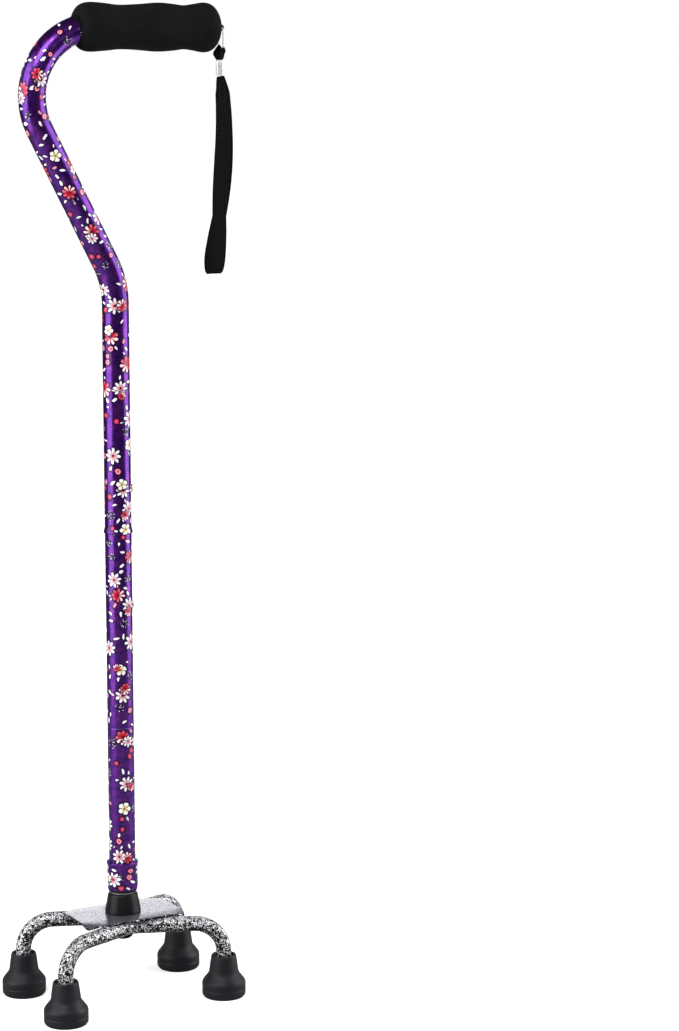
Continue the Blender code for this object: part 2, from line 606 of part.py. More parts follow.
def strap_loop(mats):
    """Gathered webbing round the ring's lower wire: a pear shape with the wire's hole through it."""
    steps = 12
    low_x = CRIMP_X - LUG_X
    low_z = LOOP_LOW_Z - RING_BOTTOM_Z
    outline = []
    for i in range(steps + 1):
        angle = math.radians(180 * i / steps)
        outline.append((LOOP_TOP_R * math.cos(angle), LOOP_TOP_R * math.sin(angle)))
    for i in range(steps + 1):
        angle = math.radians(180 + 180 * i / steps)
        outline.append((low_x + LOOP_R * math.cos(angle), low_z + LOOP_R * math.sin(angle)))
    extruded("strap_loop", outline, 2 * LOOP_HALF_WIDTH, mats["webbing"], at(LUG_X, 0, RING_BOTTOM_Z),
             (0, 0, LOOP_HOLE_R))


def strap_crimp(mats):
    """Flattened metal ferrule that clamps the webbing's ends."""
    build = bmesh.new()
    bmesh.ops.create_cube(build, size=2.0)
    bmesh.ops.scale(build, verts=build.verts, vec=CRIMP_HALF)
    upright = [e for e in build.edges if abs(e.verts[0].co.z - e.verts[1].co.z) > CRIMP_HALF[2]]
    bmesh.ops.bevel(build, geom=upright, offset=0.0016, segments=3, affect="EDGES", profile=0.5)
    finish("strap_crimp", build, mats["chrome"], at(CRIMP_X, 0, CRIMP_Z))


def wrist_strap(mats):
    """Flat webbing, narrow where it is gathered into the crimp."""
    route = smooth_curve(STRAP_ROUTE, 2)
    narrow = STRAP_NECK_HALF_WIDTH / STRAP_HALF_WIDTH
    neck_points = 3
    widths = []
    for i in range(len(route)):
        from_end = min(i, len(route) - 1 - i)
        widths.append((narrow + (1 - narrow) * min(from_end / neck_points, 1), 1.0))
    half = STRAP_HALF_WIDTH, STRAP_THICK / 2
    section = [(-half[0], -half[1]), (half[0], -half[1]), (half[0], half[1]), (-half[0], half[1])]
    swept("wrist_strap", route, section, mats["webbing"], at(0, 0, 0), side=(1, 0, 0),
          scales=(widths, None))


# --- the cane -----------------------------------------------------------------------------------------------
def clear_scene():
    for thing in list(bpy.data.objects):
        bpy.data.objects.remove(thing, do_unlink=True)


clear_scene()
GUIDE = material("guide", (1.0, 0.0, 1.0), 1.0)
MATS = all_materials()
base(MATS)
lower_shaft(MATS)
upper_shaft(MATS)
snap_fasteners(MATS)
elastic_cord(MATS)
handle_tube(MATS)
foam_grip(MATS)
grip_end_plug(MATS)
strap_ring(MATS)
strap_loop(MATS)
strap_crimp(MATS)
wrist_strap(MATS)
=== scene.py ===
"""Looks of a folding quad walking cane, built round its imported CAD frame.

Metres, +Z up. Heights and distances across are given from the shaft's axis on the floor; at() turns them into
the row frame.
"""

import math
import random

import bmesh
import bpy
from mathutils import Matrix, Vector


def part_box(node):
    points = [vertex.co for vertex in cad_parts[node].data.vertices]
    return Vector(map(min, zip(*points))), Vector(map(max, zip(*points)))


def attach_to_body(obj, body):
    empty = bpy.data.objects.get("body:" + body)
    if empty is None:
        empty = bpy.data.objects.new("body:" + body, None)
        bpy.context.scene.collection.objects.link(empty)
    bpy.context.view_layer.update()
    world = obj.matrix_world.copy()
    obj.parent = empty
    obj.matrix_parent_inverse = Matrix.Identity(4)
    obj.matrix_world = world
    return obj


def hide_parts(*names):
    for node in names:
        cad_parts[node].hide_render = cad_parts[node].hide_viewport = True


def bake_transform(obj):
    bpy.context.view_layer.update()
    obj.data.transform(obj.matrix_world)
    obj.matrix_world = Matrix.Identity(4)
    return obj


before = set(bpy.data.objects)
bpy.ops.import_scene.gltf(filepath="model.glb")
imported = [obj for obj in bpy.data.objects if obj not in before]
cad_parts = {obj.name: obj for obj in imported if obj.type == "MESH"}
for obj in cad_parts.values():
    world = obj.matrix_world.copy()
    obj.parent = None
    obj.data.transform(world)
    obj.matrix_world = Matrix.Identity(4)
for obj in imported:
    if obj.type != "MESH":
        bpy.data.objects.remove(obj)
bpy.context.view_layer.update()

# --- dimensions shared with the CAD -------------------------------------------------------------------------
SHAFT_LOW, SHAFT_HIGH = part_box("lower_shaft_tube")
SHAFT_X = (SHAFT_LOW.x + SHAFT_HIGH.x) / 2
GAP = 0.0003            # between parts that touch
PITCH = 0.001           # between a tube's rings
TUBE_R = 0.0111
BORE_R = 0.0097
INNER_R = 0.0094
INNER_BORE_R = 0.0080
GIRTH = 2 * math.pi * TUBE_R
TUBE_SIDES = 72

FOOT_X, FOOT_Y = 0.073, 0.044
FOOT_HEIGHT = 0.0360
LEG_R, LEG_BORE_R = 0.0065, 0.0050
LEG_Z = 0.0640
LEG_KINK_Y = 0.0155
LEG_BEND_R = 0.0250
LEG_LOW_Z = 0.0121
KINK_LENGTH = 0.0062                        # how far from mid-length the leg's kink begins
KINK_OUT, KINK_MIDDLE_OUT = 0.0007, 0.00085  # how far it stands out beside and at mid-length

PLATE_HALF_X, PLATE_HALF_Y = 0.0455, 0.0275
PLATE_THICK, PLATE_CROWN = 0.0015, 0.0010
PLATE_FLAT_Y = 0.0120
PLATE_TIP_X, PLATE_TIP_DROP = 0.0300, 0.0020
PLATE_TOP_Z = 0.0733
PLATE_CORNER_R = 0.0042

BOLT_R = 0.0040
COLLAR_Z = 0.0903
COLLAR_TOP_Z = 0.1175
COLLAR_SIDES = 84
COLLAR_GLINT_TOP, COLLAR_BAND = 0.0011, 0.0032   # tops of the pale line at the collar's foot, a painted glint, and of the black band above it
SEAM_Z = 0.2340
ADJUST_BUTTON_Z = 0.3370
HOLE_PITCH = 0.0254
BUTTON_R, HOLE_R = 0.0034, 0.0037
ADJUST_TIP_X, LOCK_TIP_X = 0.0132, 0.0139
EXTENSION_LOW_Z, EXTENSION_TOP_Z = 0.1800, 0.3520
MOUTH_Z = 0.3980
SHOULDER_HEIGHT = 0.0042
SPIGOT_TOP_Z = 0.4550
LOCK_BUTTON_Z = 0.4350

LEAN = math.radians(27.5)
LOW_BEND_Z, LOW_BEND_R = 0.5878, 0.0750
NECK_R = 0.0560
GRIP_Z = 0.8115
TUBE_END_X = 0.0880
GRIP_START_X = -0.0312
GRIP_OUTLINE = (
    (0.0000, 0.0120), (0.0012, 0.0152), (0.0048, 0.0184), (0.0115, 0.0198), (0.0249, 0.0190),
    (0.0374, 0.0178), (0.0537, 0.0184), (0.0709, 0.0197), (0.0843, 0.0190), (0.0949, 0.0178),
    (0.1045, 0.0189), (0.1131, 0.0202), (0.1188, 0.0189), (0.1231, 0.0145), (0.1253, 0.0090),
    (0.1265, 0.0035),
)
LUG_X = 0.0985
RING_TOP_Z = GRIP_Z + 0.00015
RING_HALF_WIDTH, RING_HALF_HEIGHT = 0.0045, 0.0084
RING_BOTTOM_Z = RING_TOP_Z - 2 * RING_HALF_HEIGHT
LOOP_LOW_Z = 0.7902
CRIMP_X = 0.0972
CRIMP_HALF = (0.0032, 0.0021, 0.0061)
CRIMP_Z = LOOP_LOW_Z - 0.0052 - GAP - CRIMP_HALF[2]

STRAP_ROUTE = (
    (0.0975, -0.0009, 0.7718), (0.0978, -0.0028, 0.7620), (0.0973, -0.0048, 0.7430),
    (0.0962, -0.0060, 0.7230), (0.0947, -0.0062, 0.7030), (0.0934, -0.0058, 0.6810),
    (0.0932, -0.0052, 0.6610), (0.0934, -0.0050, 0.6430), (0.0926, -0.0048, 0.6250),
    (0.0914, -0.0036, 0.6140), (0.0908, 0.0000, 0.6100), (0.0904, 0.0036, 0.6125),
    (0.0908, 0.0050, 0.6230), (0.0945, 0.0056, 0.6400), (0.1000, 0.0062, 0.6610),
    (0.1043, 0.0066, 0.6850), (0.1060, 0.0066, 0.7090), (0.1052, 0.0060, 0.7330),
    (0.1022, 0.0040, 0.7560), (0.0979, 0.0009, 0.7718),
)
STRAP_WIDTH, STRAP_THICK = 0.0130, 0.0011

# --- camera -------------------------------------------------------------------------------------------------
CAMERA_AT = (-0.96908, -2.10075, 0.7857)
CAMERA_HEADING = math.radians(60.687)
CAMERA_PITCH = math.radians(-9.189)
CAMERA_LENS = 98.46


def at(x, y, z):
    """A place given from the shaft's axis on the floor."""
    return Vector((SHAFT_X + x, y, z))


# --- node trees ---------------------------------------------------------------------------------------------
class Tree:
    """Short ways to add nodes to one tree."""

    def __init__(self, tree):
        self.tree = tree

    def add(self, kind, inputs=(), **settings):
        node = self.tree.nodes.new(kind)
        for key, value in settings.items():
            setattr(node, key, value)
        for key, value in dict(inputs).items():
            self.feed(node.inputs[key], value)
        return node

    def feed(self, socket, value):
        if isinstance(value, bpy.types.NodeSocket):
            self.tree.links.new(value, socket)
            return
        if hasattr(socket.default_value, "__len__"):
            size = len(socket.default_value)
            value = (tuple(value) + (1.0,))[:size]
        socket.default_value = value

    def math(self, operation, a, b=0.0, c=0.0):
        return self.add("ShaderNodeMath", {0: a, 1: b, 2: c}, operation=operation).outputs[0]

    def times(self, a, b):
        return self.math("MULTIPLY", a, b)

    def minus(self, a, b):
        return self.math("SUBTRACT", a, b)

    def vector(self, operation, a, b=(0, 0, 0)):
        node = self.add("ShaderNodeVectorMath", {0: a, 1: b}, operation=operation)
        return node.outputs["Value" if operation == "LENGTH" else "Vector"]

    def split(self, vector):
        return self.add("ShaderNodeSeparateXYZ", {0: vector}).outputs

    def mix(self, factor, a, b):
        """A colour from a to b, on the node's colour sockets."""
        return self.add("ShaderNodeMix", {0: factor, 6: a, 7: b}, data_type="RGBA").outputs[2]

    def paint(self, colour, *layers):
        """The colour with layers over it, each given as its mask and its own colour."""
        for mask, shade in layers:
            colour = self.mix(mask, colour, shade)
        return colour

    def pick(self, factor, a, b):
        """A value from a to b, on the node's float sockets."""
        return self.add("ShaderNodeMix", {0: factor, 2: a, 3: b}, data_type="FLOAT").outputs[0]

    def step(self, value, low, high, out_low=0.0, out_high=1.0):
        """A smooth step from out_low to out_high as value goes from low to high."""
        inputs = dict(enumerate((value, low, high, out_low, out_high)))
        return self.add("ShaderNodeMapRange", inputs, interpolation_type="SMOOTHSTEP").outputs[0]

    def fall(self, value, low, high):
        """A smooth step down from 1 to 0."""
        return self.step(value, low, high, 1.0, 0.0)

    def noise(self, vector, scale, detail=2.0, rough=0.5, distortion=0.0):
        return self.add("ShaderNodeTexNoise", {"Vector": vector, "Scale": scale, "Detail": detail,
                                               "Roughness": rough, "Distortion": distortion}).outputs[0]

    def bump(self, height, strength, distance, normal=None):
        node = self.add("ShaderNodeBump", {"Height": height, "Strength": strength, "Distance": distance})
        if normal is not None:
            self.feed(node.inputs["Normal"], normal)
        return node.outputs[0]

    def place(self):
        return self.add("ShaderNodeNewGeometry").outputs["Position"]

    def wrap(self):
        return self.add("ShaderNodeUVMap", uv_map="wrap").outputs[0]

    def attribute(self, name):
        return self.add("ShaderNodeAttribute", attribute_name=name).outputs["Vector"]


def material(name, **plain):
    """A new material, its tree helper and its shader, with plain values on the shader's own sockets."""
    made = bpy.data.materials.new(name)
    made.use_nodes = True
    shader = made.node_tree.nodes["Principled BSDF"]
    tree = Tree(made.node_tree)
    for key, value in plain.items():
        tree.feed(shader.inputs[key.replace("_", " ")], value)
    return made, tree, shader


def link(tree, shader, **sockets):
    """Feeds the shader's named sockets."""
    for key, value in sockets.items():
        tree.feed(shader.inputs[key.replace("_", " ")], value)


# --- the flower print ---------------------------------------------------------------------------------------
RED_DAISY, CREAM_FLOWER, WHITE_DAISY = 0, 1, 2
BERRY, LEAF, DROP, DOT_PATCH = 0, 1, 2, 3
# each kind's share of the random draws, least radius and greatest radius
FLOWER_KINDS = {RED_DAISY: (4, 0.0055, 0.0066), CREAM_FLOWER: (2, 0.0046, 0.0060),
                WHITE_DAISY: (5, 0.0058, 0.0072)}
SMALL_KINDS = {BERRY: (26, 0.0019, 0.0026), LEAF: (22, 0.0020, 0.0030), DROP: (30, 0.0012, 0.0024),
               DOT_PATCH: (22, 0.0034, 0.0052)}
MOTIF_REACH = 0.013  # height within which a face looks for its nearest motif
GROUP_OUTPUTS = (("Colour", "NodeSocketColor"), ("Mask", "NodeSocketFloat"), ("Outline", "NodeSocketFloat"))


def local_polar(tree, place, kind, wrap):
    """A print motif's own coordinates: x, y in radii, distance from its middle, and angle."""
    offset = tree.vector("SUBTRACT", wrap, place)
    split = tree.split(offset)
    turn = tree.split(place)[2]
    size = tree.split(kind)[1]
    cosine, sine = tree.math("COSINE", turn), tree.math("SINE", turn)
    along = tree.math("MULTIPLY_ADD", split[0], cosine, tree.times(split[1], sine))
    across = tree.minus(tree.times(split[1], cosine), tree.times(split[0], sine))
    x, y = tree.math("DIVIDE", along, size), tree.math("DIVIDE", across, size)
    radius = tree.math("SQRT", tree.math("MULTIPLY_ADD", x, x, tree.times(y, y)))
    return x, y, radius, tree.math("ARCTAN2", y, x)


def lobes(tree, angle, count, power):
    """0 between petals and 1 along each of `count` petals."""
    wave = tree.math("ABSOLUTE", tree.math("COSINE", tree.times(angle, count / 2)))
    return tree.math("POWER", wave, power)


def new_group(name):
    """A group that makes a motif's colour, ink mask and outline from its place and kind and the wrap."""
    group = bpy.data.node_groups.new(name, "ShaderNodeTree")
    for label in ("Place", "Kind", "Wrap"):
        group.interface.new_socket(label, in_out="INPUT", socket_type="NodeSocketVector")
    for label, socket_type in GROUP_OUTPUTS:
        group.interface.new_socket(label, in_out="OUTPUT", socket_type=socket_type)
    tree = Tree(group)
    given = list(tree.add("NodeGroupInput").outputs)[:3]
    return tree, given, tree.add("NodeGroupOutput").inputs


def is_kind(tree, kind, number):
    """1 where the motif is of that kind."""
    return tree.math("COMPARE", kind, float(number), 0.5)


def flower_group():
    """Colour, ink mask and outline of the nearest flower."""
    tree, (place, kind, wrap), results = new_group("print_flowers")
    _, y, radius, angle = local_polar(tree, place, kind, wrap)
    parts = tree.split(kind)
    cream = is_kind(tree, parts[0], CREAM_FLOWER)
    white = is_kind(tree, parts[0], WHITE_DAISY)
    eight, five = lobes(tree, angle, 8, 0.75), lobes(tree, angle, 5, 0.45)
    thin = lobes(tree, angle, 8, 2.4)
    edge_red = tree.math("MULTIPLY_ADD", eight, 0.50, 0.50)
    edge_cream = tree.math("MULTIPLY_ADD", five, 0.58, 0.42)
    edge_white = tree.math("MULTIPLY_ADD", lobes(tree, angle, 8, 0.85), 0.74, 0.26)
    edge = tree.pick(white, tree.pick(cream, edge_red, edge_cream), edge_white)
    past = tree.minus(radius, edge)
    mask = tree.fall(past, -0.05, 0.05)
    ragged = tree.noise(tree.vector("MULTIPLY", wrap, (1, 1, 0)), 420.0)
    reach = tree.math("MULTIPLY_ADD", ragged, 0.9, -0.22)
    outline = tree.fall(tree.minus(past, reach), -0.16, 0.16)
    outline = tree.math("MAXIMUM", outline, tree.fall(past, 0.24, 0.40))
    # eight-petal flower: coral tips, deep red inside, pale streaks on one side and a dark eye
    lit = tree.times(tree.step(y, -0.05, 0.45), tree.step(thin, 0.35, 0.65))
    red = tree.paint((0.42, 0.004, 0.016), (tree.step(radius, 0.35, 0.95), (0.72, 0.09, 0.11)),
                     (lit, (0.93, 0.82, 0.82)), (tree.step(eight, 0.10, 0.62, 0.95, 0.0), (0.10, 0.0, 0.012)),
                     (tree.fall(radius, 0.12, 0.22), (0.05, 0.0, 0.01)))
    # five-petal flower: white rims, cream inside, brown lines out of a golden middle
    lines = tree.times(tree.fall(five, 0.45, 0.78), tree.fall(radius, 0.55, 0.85))
    creamy = tree.paint((0.80, 0.68, 0.36), (tree.step(radius, 0.20, 0.80), (0.96, 0.95, 0.90)),
                        (lines, (0.07, 0.02, 0.01)), (tree.fall(radius, 0.15, 0.24), (0.42, 0.18, 0.02)),
                        (tree.fall(radius, 0.05, 0.11), (0.12, 0.02, 0.01)))
    # white daisy with red streaks out of a dark red middle
    streak = tree.times(tree.step(thin, 0.45, 0.80), tree.fall(radius, 0.38, 0.66))
    daisy = tree.paint((0.93, 0.91, 0.94), (streak, (0.62, 0.05, 0.09)),
                       (tree.step(thin, 0.02, 0.22, 0.9, 0.0), (0.05, 0.0, 0.03)),
                       (tree.fall(radius, 0.14, 0.26), (0.26, 0.0, 0.02)))
    colour = tree.mix(white, tree.mix(cream, red, creamy), daisy)
    for socket, value in zip(results, (colour, mask, outline)):
        tree.feed(socket, value)
    return tree.tree


def small_group():
    """Colour, ink mask and outline of the nearest berry, leaf, drop or dark patch of dots."""
    tree, (place, kind, wrap), results = new_group("print_small")
    x, y, radius, _ = local_polar(tree, place, kind, wrap)
    parts = tree.split(kind)
    berry, leaf = is_kind(tree, parts[0], BERRY), is_kind(tree, parts[0], LEAF)
    patch = is_kind(tree, parts[0], DOT_PATCH)
    tint = parts[2]
    wide = tree.math("ABSOLUTE", x)
    lens = tree.math("MULTIPLY_ADD", wide, 2.5, tree.times(y, y))
    drop_x = tree.times(x, 2.1)
    drop = tree.math("SQRT", tree.math("MULTIPLY_ADD", drop_x, drop_x, tree.times(y, y)))
    far = tree.pick(berry, tree.pick(leaf, drop, lens), radius)
    spots = tree.add("ShaderNodeTexVoronoi", {"Vector": wrap, "Scale": 430.0, "Randomness": 0.85},
                     voronoi_dimensions="2D").outputs["Distance"]
    dots = tree.times(tree.fall(spots, 0.13, 0.24), tree.fall(radius, 0.80, 0.95))
    mask = tree.pick(patch, tree.fall(far, 0.90, 1.08), dots)
    ragged = tree.noise(tree.vector("MULTIPLY", wrap, (1, 1, 0)), 520.0)
    halo = tree.fall(tree.math("ADD", far, tree.times(ragged, 0.9)), 1.75, 2.45)
    gloom = tree.step(tree.math("MULTIPLY_ADD", ragged, 0.8, radius), 0.95, 1.45, 0.95, 0.0)
    outline = tree.pick(patch, halo, gloom)
    fruit = tree.mix(tree.step(radius, 0.62, 0.92), (0.80, 0.42, 0.50), (0.46, 0.012, 0.06))
    fruit = tree.mix(tree.fall(tree.math("ADD", radius, tree.times(y, 0.12)), 0.34, 0.50), fruit,
                     (0.62, 0.04, 0.12))
    solid = tree.mix(tree.step(radius, 0.45, 0.90), (0.66, 0.07, 0.12), (0.26, 0.0, 0.03))
    fruit = tree.mix(tree.step(tint, 0.45, 0.46), fruit, solid)
    green = tree.mix(tree.step(x, -0.05, 0.05), (0.90, 0.92, 0.90), (0.36, 0.52, 0.42))
    blade = tree.mix(tree.step(tint, 0.80, 0.81), (0.93, 0.90, 0.95), green)
    pink = tree.mix(tree.step(tint, 0.90, 0.91), (0.94, 0.92, 0.96), (0.85, 0.30, 0.42))
    colour = tree.mix(patch, tree.mix(berry, tree.mix(leaf, pink, blade), fruit), (0.72, 0.66, 0.80))
    for socket, value in zip(results, (colour, mask, outline)):
        tree.feed(socket, value)
    return tree.tree


FLOWERS, SMALLS = flower_group(), small_group()


def printed_lacquer():
    """Violet metallic lacquer under a clear coat, with the flower print between them."""
    made, tree, shader = material("printed_lacquer", Coat_Weight=0.40, Coat_Roughness=0.18, Coat_IOR=1.5)
    place = tree.place()
    warp = tree.add("ShaderNodeTexNoise", {"Vector": place, "Scale": 330.0, "Detail": 2.0}).outputs["Color"]
    warp = tree.vector("MULTIPLY", tree.vector("SUBTRACT", warp, (0.5, 0.5, 0.5)), (0.0016, 0.0016, 0.0))
    wrap = tree.vector("ADD", tree.wrap(), warp)
    cloud = tree.noise(place, 150.0, 3.0, 0.6)
    bloom = tree.noise(tree.vector("MULTIPLY", place, (1, 1, 0.5)), 260.0)
    flake = tree.noise(place, 2600.0, 2.0, 0.6)
    colour, ink = tree.paint((0.044, 0.0030, 0.160), (tree.step(cloud, 0.36, 0.64), (0.104, 0.0120, 0.200)),
                             (tree.step(bloom, 0.55, 0.72, 0.0, 0.75), (0.170, 0.0200, 0.240)),
                             (tree.step(flake, 0.56, 0.72, 0.0, 0.30), (0.30, 0.10, 0.55)),
                             (tree.step(flake, 0.30, 0.44, 0.45, 0.0), (0.020, 0.001, 0.090))), None
    for group, layer in ((SMALLS, "small"), (FLOWERS, "bloom"), (FLOWERS, "top")):
        node = tree.add("ShaderNodeGroup", node_tree=group)
        tree.feed(node.inputs[0], tree.attribute(layer + "_place"))
        tree.feed(node.inputs[1], tree.attribute(layer + "_kind"))
        tree.feed(node.inputs[2], wrap)
        shade, mask, outline = node.outputs
        colour = tree.paint(colour, (tree.times(outline, 0.96), (0.005, 0.0005, 0.014)), (mask, shade))
        dull = tree.math("MAXIMUM", mask, tree.times(outline, 0.85))
        ink = dull if ink is None else tree.math("MAXIMUM", ink, dull)
    wear = tree.noise(place, 420.0, 4.0, 0.6)
    rough = tree.math("ADD", tree.step(wear, 0.3, 0.75, 0.24, 0.32), tree.times(ink, 0.06))
    orange_peel = tree.noise(place, 700.0, 2.0, 0.4)
    link(tree, shader, Base_Color=colour, Metallic=tree.minus(0.93, tree.times(ink, 0.88)),
         Roughness=rough, Normal=tree.bump(orange_peel, 0.08, 0.0002), Specular_Tint=(0.30, 0.04, 0.55))
    return made


def speckled_metal(name, dark, light, *, roughness, scale, middle, sharp, bump, metallic, fine_share=0.05,
                   coat=0.0, worm=0.0, underside_shade=0.0, least_metal=0.0):
    """Vein or grain coat: light raised grain with dark between, and clear lacquer by the share `coat`.

    The grain begins where noise of that scale passes `middle`, within `sharp`. `fine_share` is how much finer
    specks darken it. `worm` draws the dark as winding lines of that half width instead of as patches.
    `underside_shade` thins the grain on surfaces that face down, as painted shade that darkens their undersides.
    The metallic value goes from least_metal in the dark to metallic in the grain.
    """
    made, tree, shader = material(name, Coat_Weight=coat, Coat_Roughness=0.12)
    place = tree.place()
    warp = tree.noise(place, scale * 0.30)
    veins = tree.noise(place, scale, 2.0, 0.55, 1.1)
    both = tree.math("MULTIPLY_ADD", warp, 0.15, tree.times(veins, 0.85))
    # Painted shade: the grain thins where the surface faces down, so undersides come out darker.
    facing = tree.split(tree.add("ShaderNodeNewGeometry").outputs["Normal"])[2]
    under = tree.step(facing, -0.8, 0.5, underside_shade, 0.0)
    level = tree.minus(both, under)
    grain = tree.step(level, middle - sharp, middle + sharp)
    if worm:
        lines = tree.math("ABSOLUTE", tree.minus(tree.noise(place, scale * 1.15, 1.0, 0.5, 0.8), 0.5))
        drawn = tree.step(tree.minus(lines, under), worm - 0.012, worm + 0.012)
        grain = tree.times(drawn, tree.step(level, middle - 0.080, middle - 0.060))
    shade = tree.mix(grain, dark, light)
    fine = tree.noise(place, scale * 3.5)
    shade = tree.mix(tree.step(fine, 0.40, 0.7, 0.0, fine_share), shade, dark)
    link(tree, shader, Base_Color=shade, Metallic=tree.step(grain, 0.0, 1.0, least_metal, metallic),
         Roughness=tree.step(fine, 0.3, 0.7, roughness, roughness + 0.12),
         Specular_IOR_Level=tree.step(grain, 0.0, 1.0, 0.15, 0.5), Normal=tree.bump(both, bump, 0.0006))
    return made


def moulded(name, colour, roughness, scale, bump, shine):
    """Moulded plastic, rubber or foam: fine grain, slightly uneven colour, paler where it is rubbed."""
    made, tree, shader = material(name, Specular_IOR_Level=shine)
    place = tree.place()
    grain = tree.noise(place, scale, 3.0, 0.6)
    cloud = tree.noise(place, 60.0)
    rubbed = tuple(min(1.0, c * 1.9 + 0.004) for c in colour)
    shade = tree.paint(colour, (tree.step(cloud, 0.35, 0.75, 0.0, 0.40), rubbed),
                       (tree.step(grain, 0.55, 0.80, 0.0, 0.5), rubbed))
    link(tree, shader, Base_Color=shade, Roughness=tree.step(cloud, 0.3, 0.7, roughness - 0.06, roughness + 0.06),
         Normal=tree.bump(grain, bump, 0.0003))
    return made


def bright_metal(name, colour, roughness, scratch, drawn=(1, 1, 1), metallic=1.0):
    """Plated or bare metal with fine scratches, `drawn` out along each axis, and a few dull spots."""
    made, tree, shader = material(name, Metallic=metallic)
    place = tree.place()
    lines = tree.noise(tree.vector("MULTIPLY", place, tuple(1 / a for a in drawn)), 2600.0, 3.0, 0.6)
    spots = tree.noise(place, 350.0, 3.0, 0.6)
    dull = tuple(c * 0.72 for c in colour)
    shade = tree.mix(tree.step(spots, 0.50, 0.75, 0.0, 0.6), colour, dull)
    link(tree, shader, Base_Color=shade,
         Roughness=tree.math("ADD", tree.step(spots, 0.4, 0.8, roughness, roughness + 0.10),
                             tree.times(lines, scratch)),
         Normal=tree.bump(lines, scratch, 0.0001))
    return made


def woven_tape(name, colour, across_pitch, along_pitch):
    """Flat woven webbing: ribs along it and a weave across them."""
    made, tree, shader = material(name, Sheen_Weight=0.008, Sheen_Roughness=0.5, Specular_IOR_Level=0.08)
    wrap = tree.wrap()
    split = tree.split(wrap)
    rib = tree.math("SINE", tree.times(split[0], 2 * math.pi / across_pitch))
    shift = tree.times(tree.math("SIGN", rib), math.pi / 2)
    weft = tree.math("SINE", tree.math("MULTIPLY_ADD", split[1], 2 * math.pi / along_pitch, shift))
    yarn = tree.math("MULTIPLY_ADD", tree.math("ABSOLUTE", rib), 0.6, tree.times(weft, 0.4))
    fuzz = tree.noise(tree.place(), 3000.0, 2.0, 0.6)
    pale = tuple(c * 2.2 + 0.002 for c in colour)
    shade = tree.paint(colour, (tree.step(yarn, 0.15, 0.95, 0.0, 0.75), pale),
                       (tree.step(fuzz, 0.55, 0.8, 0.0, 0.5), pale))
    link(tree, shader, Base_Color=shade, Roughness=tree.step(yarn, 0.0, 1.0, 0.92, 0.72),
         Normal=tree.bump(yarn, 0.6, 0.0003, tree.bump(fuzz, 0.3, 0.0002)))
    return made


def all_materials():
    return {
        "printed": printed_lacquer(),
        # The legs' coat, with painted shade on the faces that look down.
        "vein": speckled_metal("vein_coat_black_silver", (0.003, 0.003, 0.004), (0.78, 0.78, 0.80), roughness=0.34,
                               scale=400.0, middle=0.500, sharp=0.014, bump=0.50, metallic=0.35, worm=0.072,
                               underside_shade=0.055),
        "plate": speckled_metal("grain_coat_grey", (0.185, 0.175, 0.210), (0.41, 0.39, 0.45), roughness=0.11,
                                scale=700.0, middle=0.48, sharp=0.08, bump=0.16, metallic=0.86, fine_share=0.18,
                                coat=0.2, least_metal=0.78),
        # Painted shade: the plate's rim is coated near black, with sparse pale specks, for the dark shade along
        # the plate's edge.
        "rim": speckled_metal("grain_coat_rim_painted_shade", (0.002, 0.002, 0.003), (0.86, 0.85, 0.90), roughness=0.30,
                              scale=380.0, middle=0.590, sharp=0.012, bump=0.40, metallic=0.35),
        "rubber": moulded("foot_rubber_black", (0.0046, 0.0046, 0.0070), 0.50, 1800.0, 0.20, shine=0.24),
        "foam": moulded("grip_foam_black", (0.0036, 0.0036, 0.0042), 0.95, 2600.0, 0.50, shine=0.10),
        "plastic": moulded("moulded_plastic_black", (0.0022, 0.0022, 0.0030), 0.36, 1500.0, 0.12, shine=0.17),
        "aluminium": bright_metal("drawn_aluminium", (0.74, 0.75, 0.77), 0.24, 0.22, (1, 1, 12)),
        "steel": bright_metal("plated_steel", (0.58, 0.58, 0.60), 0.28, 0.15),
        "bolt": moulded("blackened_steel", (0.003, 0.003, 0.0035), 0.35, 2200.0, 0.10, shine=0.06),
        "brass": bright_metal("brass_polished", (0.86, 0.66, 0.38), 0.16, 0.06),
        # Painted reflection: this nickel is only half metallic, so its pale diffuse colour stands for the white
        # room that the real ring and ferrule reflect.
        "chrome": bright_metal("nickel_satin_painted_reflection", (0.94, 0.94, 0.95), 0.14, 0.05, metallic=0.55),
        "webbing": woven_tape("webbing_black", (0.0012, 0.0012, 0.0014), 0.0011, 0.0009),
        "elastic": woven_tape("elastic_braid_black", (0.010, 0.010, 0.012), 0.0012, 0.0012),
    }


MATS = all_materials()


# --- mesh tools ---------------------------------------------------------------------------------------------
def shown(name, data):
    """A new object in the scene."""
    made = bpy.data.objects.new(name, data)
    bpy.context.scene.collection.objects.link(made)
    return made


def smoothed(name, mesh, sharp):
    """The mesh shown with smooth shading, except over edges of more than `sharp` degrees."""
    mesh.shade_smooth()
    mesh.set_sharp_from_angle(angle=math.radians(sharp))
    return shown(name, mesh)


def from_build(name, build, materials, sharp):
    """The finished bmesh as an object in the scene."""
    mesh = bpy.data.meshes.new(name)
    build.to_mesh(mesh)
    build.free()
    for given in materials:
        mesh.materials.append(given)
    return smoothed(name, mesh, sharp)


def attach(made, body, replaced):
    """Says which body a piece rides on and hides the CAD nodes it stands for."""
    if body:
        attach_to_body(made, body)
    if replaced:
        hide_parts(*replaced)
    return made


def piece(name, points, faces, materials, body, replaced=(), wraps=None, chosen=None, sharp=35,
          welded=True):
    """A named mesh piece that rides on a body. wraps gives each face's corner coordinates; chosen its material."""
    mesh = bpy.data.meshes.new(name)
    mesh.from_pydata([tuple(p) for p in points], [], faces)
    for given in materials:
        mesh.materials.append(given)
    if chosen is not None:
        mesh.polygons.foreach_set("material_index", chosen)
    if wraps is not None:
        layer = mesh.uv_layers.new(name="wrap")
        flat = [value for corners in wraps for pair in corners for value in pair]
        layer.data.foreach_set("uv", flat)
    mesh.validate()
    made = smoothed(name, mesh, sharp)
    if welded:
        weld(made)
    return attach(made, body, replaced)


